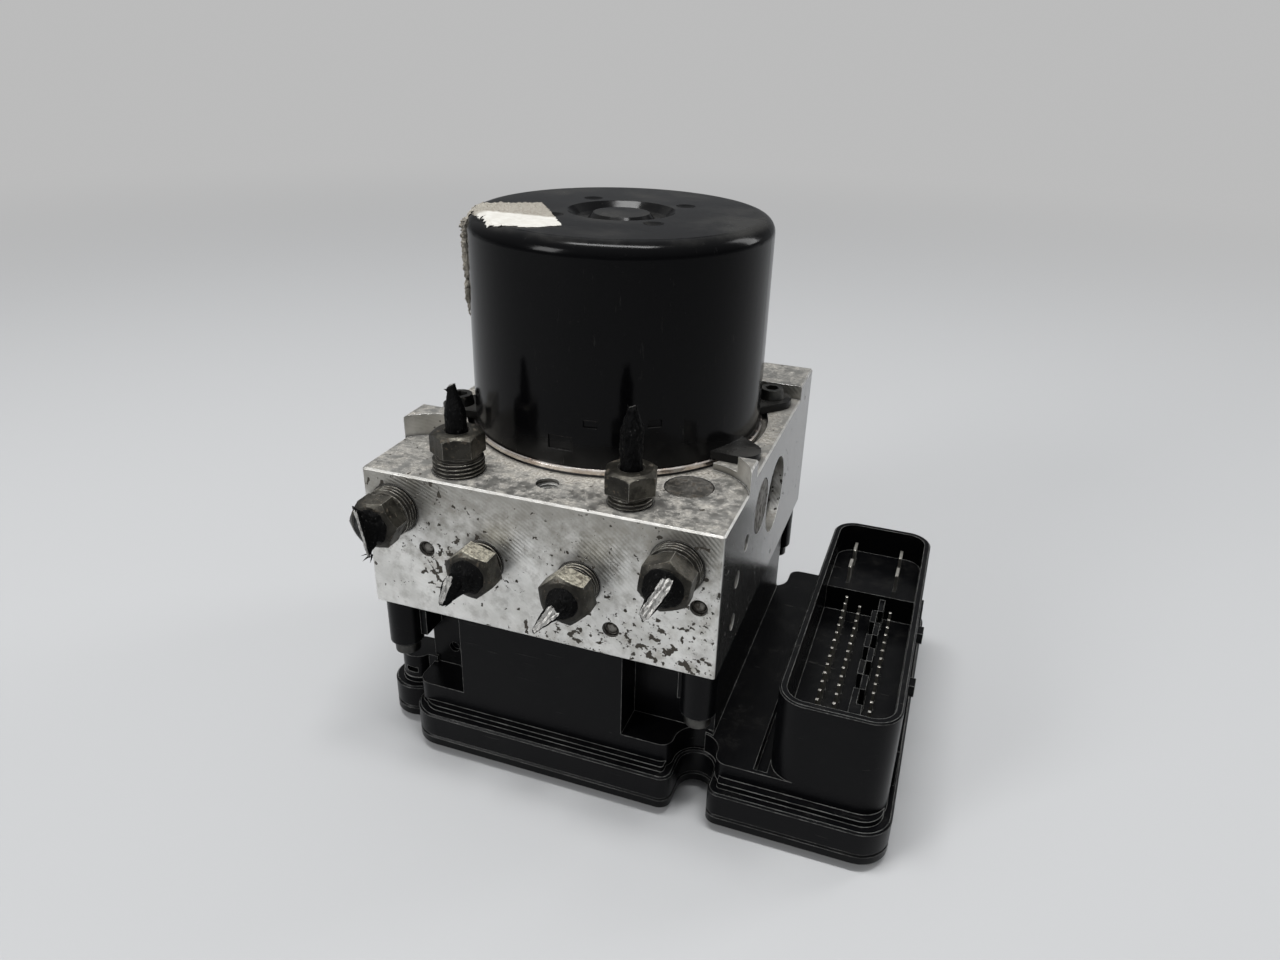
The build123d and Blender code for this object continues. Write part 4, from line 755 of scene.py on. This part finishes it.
def is_bare(shape, column, scale):
    """Whether a patch of the cut face, by its column round the ring and its scale, is steel."""
    low, high = shape.band
    angle = 2 * math.pi * (column + 0.5) / stub_around
    u, v = math.cos(angle) * scale, math.copysign(abs(math.sin(angle)) ** 0.6, math.sin(angle)) * scale
    if abs(u) > shape.half_a / (shape.half_a + coat):
        return False
    edge = shape.half_b / (shape.half_b + coat)
    return max(low, -edge) < v < min(high, edge)


def stub_piece(name, coating, steel, shift):
    """A cut-off brake pipe: black and creased, with a bright sheared end."""
    points = stub_points(name, shift)
    rings = len(points) // stub_around
    kinds = [0] * ((rings - len(cap_scales)) * stub_around)
    for scale in cap_scales[:-1]:
        kinds += [int(is_bare(stub_shapes[name], column, scale)) for column in range(stub_around)]
    # The two faces that close the tube: steel outside, coating inside
    kinds += [1, 0]
    faces = capped_faces(rings, stub_around)
    piece = smooth_mesh(f"stub_{name}", points, faces, [coating, steel], kinds, 40.0)
    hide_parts(f"pipe_stub_{name}")
    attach(piece, "root")


# Ragged slivers of coating: the fitting, the root, how far and which way each hangs, and its radius
slivers = [
    ("front_1", (-33.9, -65.6, 64.6), (-1.6, -0.9, -1.1), 0.35),
    ("front_1", (-33.7, -65.6, 65.2), (-2.3, -0.5, -0.6), 0.25),
    ("front_1", (-33.5, -65.4, 64.9), (0.5, -1.2, -1.5), 0.3),
    ("front_2", (-15.6, -63.2, 55.6), (-0.8, -0.9, -1.4), 0.5),
    ("top_1", (-24.0, -44.6, 98.0), (-0.7, -0.2, 0.5), 0.35),
    ("top_1", (-23.3, -44.6, 98.9), (-0.2, -0.1, 0.6), 0.35),
    ("top_2", (19.6, -45.6, 100.8), (-0.7, -0.2, 0.9), 0.3),
]
sliver_rings = 7
sliver_around = 8
sliver_bend = 0.3


def sliver_piece(number, fitting, root, reach, radius, material):
    """One tapered, slightly bent sliver of torn coating, half as thick as it is wide."""
    outward = Vector(reach)
    side = outward.orthogonal().normalized()
    other = outward.cross(side).normalized()
    points = []
    for ring in range(sliver_rings):
        share = ring / (sliver_rings - 1)
        centre = Vector(root) + outward * share + side * sliver_bend * share * share
        size = radius * (1.0 - 0.95 * share)
        for angle in angles(sliver_around):
            points.append(centre + side * math.cos(angle) * size + other * math.sin(angle) * size * 0.5)
    faces = capped_faces(sliver_rings, sliver_around)
    piece = smooth_mesh(f"sliver_{fitting}_{number}", points, faces, [material])
    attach(piece, "root")


# ---- threaded bracket hole

bracket_hole = (-0.3, -43.7, shelf_z)
bracket_radius = 2.68
bracket_thread_depth = 0.38
bracket_pitch = 0.8
bracket_thread_from = 0.7
bracket_thread_to = 12.0
bracket_around = 64
bracket_rings_per_pitch = 10


def bracket_thread_piece(material):
    """The cut thread inside the bracket hole."""
    centre = Vector(bracket_hole)
    length = bracket_thread_to - bracket_thread_from
    rings = round(length / bracket_pitch * bracket_rings_per_pitch)
    points = []
    for ring in range(rings + 1):
        depth = bracket_thread_from + length * ring / rings
        for index, angle in enumerate(angles(bracket_around)):
            phase = (depth / bracket_pitch - index / bracket_around) % 1.0
            radius = bracket_radius - bracket_thread_depth * (1.0 - abs(2.0 * phase - 1.0))
            points.append(centre + Vector((radius * math.cos(angle), radius * math.sin(angle), -depth)))
    piece = smooth_mesh("bracket_thread", points, tube_faces(rings + 1, bracket_around), [material])
    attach(piece, "root")


# ---- caulked plugs

plug_around = 40
plug_relief = 0.14
plug_rough_to = 2.0
# Radius and depth of each ring: up the wall of the hole, into the groove and over the dome
plug_profile = [
    (2.0, 4.6), (2.0, 0.35), (1.85, 0.42), (1.7, 0.95), (1.45, 1.05), (1.25, 0.8), (0.95, 0.62), (0.5, 0.5)
]


def plug_points(centre, first, second, inward, seed):
    """One caulked ball: a dome in a rough groove, below the mouth of its hole."""
    points = []
    for radius, depth in plug_profile:
        relief = plug_relief if depth < plug_rough_to else 0.0
        for angle in angles(plug_around):
            rough = noise.noise(Vector((math.cos(angle) * 2.0, math.sin(angle) * 2.0, radius + seed)))
            points.append(centre + spoke(first, second, angle) * radius + inward * (depth + relief * rough))
    return points


def plugs_piece(material):
    """The six caulked balls that close the drilled channels."""
    spots = [(Vector((x, block_front, z)), X, Y) for x, z in front_plugs]
    spots += [(Vector((block_side, y, z)), Y, -X) for y, z in side_plugs]
    points, faces = [], []
    for seed, (centre, first, inward) in enumerate(spots):
        base = len(points)
        points += plug_points(centre, first, Z, inward, seed * 3.1)
        for face in capped_faces(len(plug_profile), plug_around):
            faces.append(tuple(base + corner for corner in face))
    piece = smooth_mesh("caulked_plugs", points, faces, [material])
    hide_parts("channel_plugs")
    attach(piece, "root")


# ---- torn label

label_thickness = 0.16
label_from = 178.0
label_to = 262.0
label_inner = 16.0
label_drop = 22.0
label_columns = 360
label_rows = 270
label_flat = can_radius - can_edge - label_inner
label_curve = can_edge * math.pi / 2
label_way = label_flat + label_curve + label_drop
# The strip down the hidden side ends at this azimuth, and the smooth white front starts at this y
flap_to = 209.0
white_from = -16.5

# Straight edges of the paper on the can's top: a point on each, the way into the paper, and
# how ragged it is
label_edges = [
    ((-20.0, -1.5), (-0.832, -0.555), 0.35),
    ((-20.0, -1.0), (0.458, -0.889), 0.9),
    ((-5.0, -24.0), (-0.767, 0.642), 0.25),
]
# The tear that runs in from the front edge, from its tip to its mouth
tear_from = (-25.3, -20.5)
tear_to = (-24.0, -29.0)


def label_spot(azimuth, way, lift=0.0):
    """A point on the can under the label, by azimuth and by the way from its inner edge."""
    if way < label_flat:
        radius, height = label_inner + way, can_top + lift
    elif way < label_flat + label_curve:
        turn = (way - label_flat) / can_edge
        radius = can_radius - can_edge + (can_edge + lift) * math.sin(turn)
        height = can_top - can_edge + (can_edge + lift) * math.cos(turn)
    else:
        radius = can_radius + lift
        height = can_top - can_edge - (way - label_flat - label_curve)
    angle = math.radians(azimuth)
    return Vector((radius * math.cos(angle), radius * math.sin(angle), height))


def label_shoulder(azimuth):
    """How far over the rounded rim the paper reaches, as a way from the inner edge."""
    over = 0.30 + 0.3 * noise.noise(Vector((azimuth * 0.13, 4.0, 1.0)))
    over += 0.25 * noise.noise(Vector((azimuth * 0.5, 8.0, 1.0)))
    over -= max(0.0, azimuth - 240.0) * 0.09
    return label_flat + label_curve * over


def label_present(azimuth, way):
    """Whether paper is left here: a patch on the top and a strip down the hidden side."""
    rag = noise.fractal(Vector((azimuth * 0.16, way * 0.5, 2.0)), 0.8, 2.1, 5)
    if way > label_flat + label_curve * 0.4 and azimuth < flap_to + 1.2 * rag:
        return way < label_way - 3.0 + 4.0 * rag and azimuth > label_from + 6.0 + 2.0 * rag
    if way > label_shoulder(azimuth):
        return False
    spot = label_spot(azimuth, way)
    for (edge_x, edge_y), (into_x, into_y), ragged in label_edges:
        if (spot.x - edge_x) * into_x + (spot.y - edge_y) * into_y < ragged * rag:
            return False
    share = (tear_from[1] - spot.y) / (tear_from[1] - tear_to[1])
    if 0.0 < share < 1.2:
        middle = tear_from[0] + (tear_to[0] - tear_from[0]) * share
        return abs(spot.x - middle) > share * 0.9 + 0.25 * rag
    return True


def label_lift(azimuth, way):
    """How far the paper stands off the can, fuzzy except on its white front."""
    spot = label_spot(azimuth, way)
    height = 0.06 if spot.y < white_from and way < label_flat else 0.4
    return label_thickness + height * max(0.0, noise.fractal(spot * 0.9, 0.6, 2.2, 5))


def label_piece(material):
    """The torn paper, a thin skin with ragged, slightly lifted edges."""
    index_of = {}
    points, faces = [], []

    def place(column, row):
        azimuth = label_from + (label_to - label_from) * column / label_columns
        return azimuth, label_way * row / label_rows

    def corner(column, row):
        if (column, row) not in index_of:
            azimuth, way = place(column, row)
            index_of[column, row] = len(points)
            points.append(label_spot(azimuth, way, label_lift(azimuth, way)))
        return index_of[column, row]

    for column in range(label_columns):
        for row in range(label_rows):
            if label_present(*place(column + 0.5, row + 0.5)):
                around = ((column, row), (column, row + 1), (column + 1, row + 1), (column + 1, row))
                faces.append(tuple(corner(*each) for each in around))
    piece = smooth_mesh("torn_label", points, faces, [material], sharp=80.0)
    body = piece.modifiers.new("thickness", "SOLIDIFY")
    body.thickness = label_thickness * 0.8 * MM
    body.offset = -1.0
    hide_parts("label_remnant")
    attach(piece, "root")


fuzz_rings = 90
fuzz_around = 18
fuzz_azimuth = 208.0
fuzz_top = 130.6
fuzz_bottom = 107.0
fuzz_size = 0.95
fuzz_lift = 0.25


def fuzz_ring(share):
    """Centre, outward and sideways directions, and size of the torn edge, a share of the way down."""
    height = fuzz_top + (fuzz_bottom - fuzz_top) * share
    over = max(0.0, height - (can_top - can_edge))
    inward = can_edge - math.sqrt(max(0.0, can_edge**2 - over**2))
    wander = 2.0 * noise.noise(Vector((height * 0.25, 1.0, 5.0)))
    angle = math.radians(fuzz_azimuth + wander)
    outward = spoke(X, Y, angle)
    centre = outward * (can_radius - inward + fuzz_lift) + Z * height
    swell = 0.9 + 0.5 * noise.noise(Vector((height * 0.22, 2.0, 8.0)))
    return centre, outward, Z.cross(outward), fuzz_size * (1.0 - share**5) * swell


def fuzz_piece(material):
    """The rolled, fuzzy edge of the torn paper down the hidden side of the can."""
    points = []
    for ring in range(fuzz_rings + 1):
        centre, outward, sideways, size = fuzz_ring(ring / fuzz_rings)
        for turn in angles(fuzz_around):
            spot = centre + outward * math.cos(turn) * size + sideways * math.sin(turn) * size * 1.3
            spot += (outward + sideways) * 0.6 * noise.fractal(spot * 1.3, 0.6, 2.2, 4)
            points.append(spot + Z * (0.5 * noise.noise(spot * 2.3)))
    faces = capped_faces(fuzz_rings + 1, fuzz_around)
    piece = smooth_mesh("label_torn_edge", points, faces, [material], sharp=60.0)
    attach(piece, "root")


# ---- springs of the pump and accumulators

# The springs of each kind: their axis, the end at which the left and the right one is fixed,
# their stroke, the radius of their wire and their number of turns
springs = {
    "pump": (0, {"left": -1, "right": 1}, 2.4, 0.6, 3.0),
    "accumulator": (1, {"left": 1, "right": 1}, 4.0, 0.8, 4.5),
}
spring_steps = 48
spring_round = 12
spring_gap = 0.05


def coil_points(low, high, axis, wire, turns):
    """Rings of points along a coil that fills a box, its end turns almost flat, as ground ends are."""
    first, second = [way for index, way in enumerate((X, Y, Z)) if index != axis]
    mean = first.dot(high - low) / 2 - wire
    start = low[axis] + wire + spring_gap
    travel = high[axis] - wire - spring_gap - start
    count = round(turns * spring_steps)
    points = []
    for step in range(count + 1):
        outward = spoke(first, second, 2 * math.pi * step / spring_steps)
        centre = (low + high) / 2 + outward * mean
        centre[axis] = start + travel * eased(step / count)
        for turn in angles(spring_round):
            spot = centre + outward * math.cos(turn) * wire
            spot[axis] += math.sin(turn) * wire
            points.append(spot)
    return points


def spring_piece(kind, side, material):
    """A coil in the place of the CAD's plain tube."""
    axis, fixed_ends, stroke, wire, turns = springs[kind]
    name, joint = f"{kind}_spring_{side}", f"{kind}_stroke_{side}"
    low, high = [Vector(corner) * PER_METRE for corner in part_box(name)]
    points = coil_points(low, high, axis, wire, turns)
    faces = capped_faces(len(points) // spring_round, spring_round)
    piece = smooth_mesh(f"coil_{name}", points, faces, [material])
    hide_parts(name)
    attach(piece, "root")
    anchor = (low + high) / 2
    anchor[axis] = high[axis] if fixed_ends[side] > 0 else low[axis]
    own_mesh(piece)


# ---- finishes by slot

brown_stain, black_stain, grey_stain = (0.26, 0.13, 0.08), (0.05, 0.042, 0.032), (0.05, 0.042, 0.035)

# Name, tone, roughness and how much dust lies on it
plastics = [
    ("housing_plastic", (0.0022, 0.0023, 0.0027), 0.24, 0.2),
    ("cover_plastic", (0.0022, 0.0023, 0.0026), 0.28, 0.18),
]
# Name, two tones, roughness from and to, grain, relief, stain and the noise from which it shows
metals = [
    ("plug_steel", (0.10, 0.095, 0.085), (0.27, 0.26, 0.24), (0.36, 0.6), 1.0, 0.06, black_stain, 0.5),
    ("plated_ring", (0.52, 0.44, 0.38), (0.84, 0.80, 0.76), (0.14, 0.28), 0.9, 0.01, brown_stain, 0.6),
    ("plated_steel", (0.035, 0.035, 0.034), (0.11, 0.108, 0.10), (0.3, 0.5), 1.2, 0.02, grey_stain, 0.58),
]
# Name, two tones, roughness, size of the clouds, and if given how metallic and how deep the relief
simples = [
    ("seal_rubber", (0.012, 0.012, 0.012), (0.03, 0.03, 0.03), 0.6, 5.0),
    ("carbon", (0.03, 0.03, 0.03), (0.06, 0.06, 0.06), 0.55, 2.0),
    ("spring_steel", (0.48, 0.48, 0.48), (0.66, 0.66, 0.66), 0.2, 3.0, 1.0, 0.01),
    ("ferrite", (0.055, 0.055, 0.06), (0.09, 0.09, 0.095), 0.5, 3.0),
    ("bronze", (0.42, 0.28, 0.13), (0.60, 0.43, 0.24), 0.35, 1.5, 1.0),
    ("piston_aluminium", (0.60, 0.60, 0.60), (0.74, 0.74, 0.74), 0.3, 4.0, 1.0),
    ("pin_metal", (0.62, 0.59, 0.53), (0.82, 0.79, 0.72), 0.22, 2.5, 1.0, 0.01),
    ("board", (0.03, 0.16, 0.06), (0.055, 0.24, 0.10), 0.4, 6.0),
]
# Name, two tones, roughness from and to, size of the clouds, pitch and depth of the ridges
ridged = [
    ("core_steel", (0.26, 0.26, 0.27), (0.42, 0.42, 0.43), (0.35, 0.5), 4.0, 0.5, 0.04),
    ("copper", (0.55, 0.22, 0.09), (0.80, 0.42, 0.22), (0.25, 0.45), 3.0, 0.5236, 0.08),
]


def make_finishes():
    """One material for each slot of the record, and the bright one of the cut pipe ends."""
    single = (block_material, nut_material, can_material, paper_material, coating_material, cut_material)
    paints = [make() for make in single]
    paints += [plastic_material(*row) for row in plastics]
    paints += [metal_material(*row) for row in metals]
    paints += [simple_material(*row) for row in simples]
    paints += [ridged_material(*row) for row in ridged]
    return {paint.name: paint.material for paint in paints}


def dress_frame(finishes):
    """Give every CAD node the finish of its slot."""
    slots = {row["node"]: row["material_slot"] for row in frame["record"]["subparts"]}
    for name, node in frame["nodes"].items():
        node.data.materials.clear()
        node.data.materials.append(finishes[slots[name]])


# ---- studio

backdrop_level = 0.5
floor_half = 6.0
floor_back = 5.0
floor_rise = 3.0
floor_steps = 12
# The floor fades to the backdrop between these distances in millimetres, where the camera sees it
fade_from = 250.0
fade_to = 1100.0


def floor_shade():
    """An even pale grey, which glows like the backdrop away from the object."""
    paint = Paint("studio_floor", Roughness=0.85, Specular_IOR_Level=0.15)
    grey, pale = (0.40, 0.404, 0.41), (0.43, 0.434, 0.44)
    paint.set("Base Color", paint.mix(paint.noise(900.0, 2.0), grey, pale))
    glow = paint.join("ShaderNodeEmission", {"Color": (backdrop_level, backdrop_level, backdrop_level)})
    away = paint.step(paint.reach((0.0, 0.0, 0.0)), fade_from, fade_to)
    seen = paint.make("ShaderNodeLightPath").outputs["Is Camera Ray"]
    share = paint.times(away, seen)
    both = paint.join("ShaderNodeMixShader", {0: share, 1: paint.shader.outputs[0], 2: glow})
    paint.feed(paint.tree.nodes["Material Output"].inputs["Surface"], both)
    return paint.material


def make_floor():
    """A plain floor that curls up far behind the object."""
    rows = [(-floor_half, 0.0)]
    for index in range(floor_steps + 1):
        angle = math.pi / 2 * index / floor_steps
        height = floor_rise - floor_rise * math.cos(angle)
        rows.append((floor_back - floor_rise + floor_rise * math.sin(angle), height))
    points = [Vector((side * floor_half, y, z)) * PER_METRE for y, z in rows for side in (-1, 1)]
    faces = [(2 * row, 2 * row + 1, 2 * row + 3, 2 * row + 2) for row in range(len(rows) - 1)]
    smooth_mesh("studio_floor", points, faces, [floor_shade()])


def area_light(name, place, aim, width, depth, power):
    """A soft rectangular lamp at a place in metres, turned to a point."""
    data = bpy.data.lights.new(name, "AREA")
    data.shape = "RECTANGLE"
    data.size, data.size_y = width, depth
    data.energy = power
    lamp = bpy.data.objects.new(name, data)
    lamp.location = place
    lamp.rotation_euler = (Vector(aim) - Vector(place)).to_track_quat("-Z", "Y").to_euler()
    bpy.context.scene.collection.objects.link(lamp)


def make_lights():
    """An overhead key, a low fill from the front left and a rim light from behind."""
    area_light("key", (0.0, -0.12, 1.1), (0.0, 0.0, 0.07), 0.7, 0.16, 11.0)
    area_light("front_fill", (-0.7, -1.0, 0.6), (0.0, 0.0, 0.07), 0.4, 0.5, 8.0)
    area_light("rim", (0.85, 0.75, 0.6), (0.0, 0.0, 0.09), 0.3, 0.7, 4.0)


def make_world():
    """Soft studio light, brighter overhead; the camera sees a plain pale ground behind."""
    world = bpy.data.worlds.new("studio")
    world.use_nodes = True
    sky = Nodes(world.node_tree)
    height = sky.axes(sky.generated)[2]
    light = sky.step(height, -0.1, 0.9, 0.08, 0.6, "LINEAR")
    seen = sky.make("ShaderNodeLightPath").outputs["Is Camera Ray"]
    background = sky.tree.nodes["Background"]
    sky.feed(background.inputs["Strength"], sky.blend(seen, light, backdrop_level))
    sky.feed(background.inputs["Color"], (0.97, 0.985, 1.0))
    bpy.context.scene.world = world


camera_place = (0.080969, -0.215515, 0.173266)
camera_turn = (63.830, -1.434, 19.747)
camera_lens = 26.345
camera_sensor = 36.0


def make_camera():
    """The photograph's point of view."""
    data = bpy.data.cameras.new("camera")
    data.sensor_width = camera_sensor
    data.lens = camera_lens
    data.clip_start = 0.01
    camera = bpy.data.objects.new("camera", data)
    camera.location = camera_place
    camera.rotation_euler = [math.radians(angle) for angle in camera_turn]
    bpy.context.scene.collection.objects.link(camera)
    bpy.context.scene.camera = camera


finishes = make_finishes()
dress_frame(finishes)
for number, fitting in enumerate(fittings):
    nut_piece(fitting, finishes["nut_steel"])
    # Each pipe has folds of its own, from another stretch of the noise
    stub_piece(fitting, finishes["pipe_coating"], finishes["cut_steel"], 3.7 * number + 1.3)
for number, (fitting, root, reach, radius) in enumerate(slivers):
    sliver_piece(number, fitting, root, reach, radius, finishes["pipe_coating"])
plugs_piece(finishes["plug_steel"])
bracket_thread_piece(finishes["block_aluminium"])
label_piece(finishes["paper"])
fuzz_piece(finishes["paper"])
for kind in springs:
    for side in ("left", "right"):
        spring_piece(kind, side, finishes["spring_steel"])
make_floor()
make_world()
make_lights()
make_camera()
bpy.context.scene.view_settings.view_transform = "Standard"
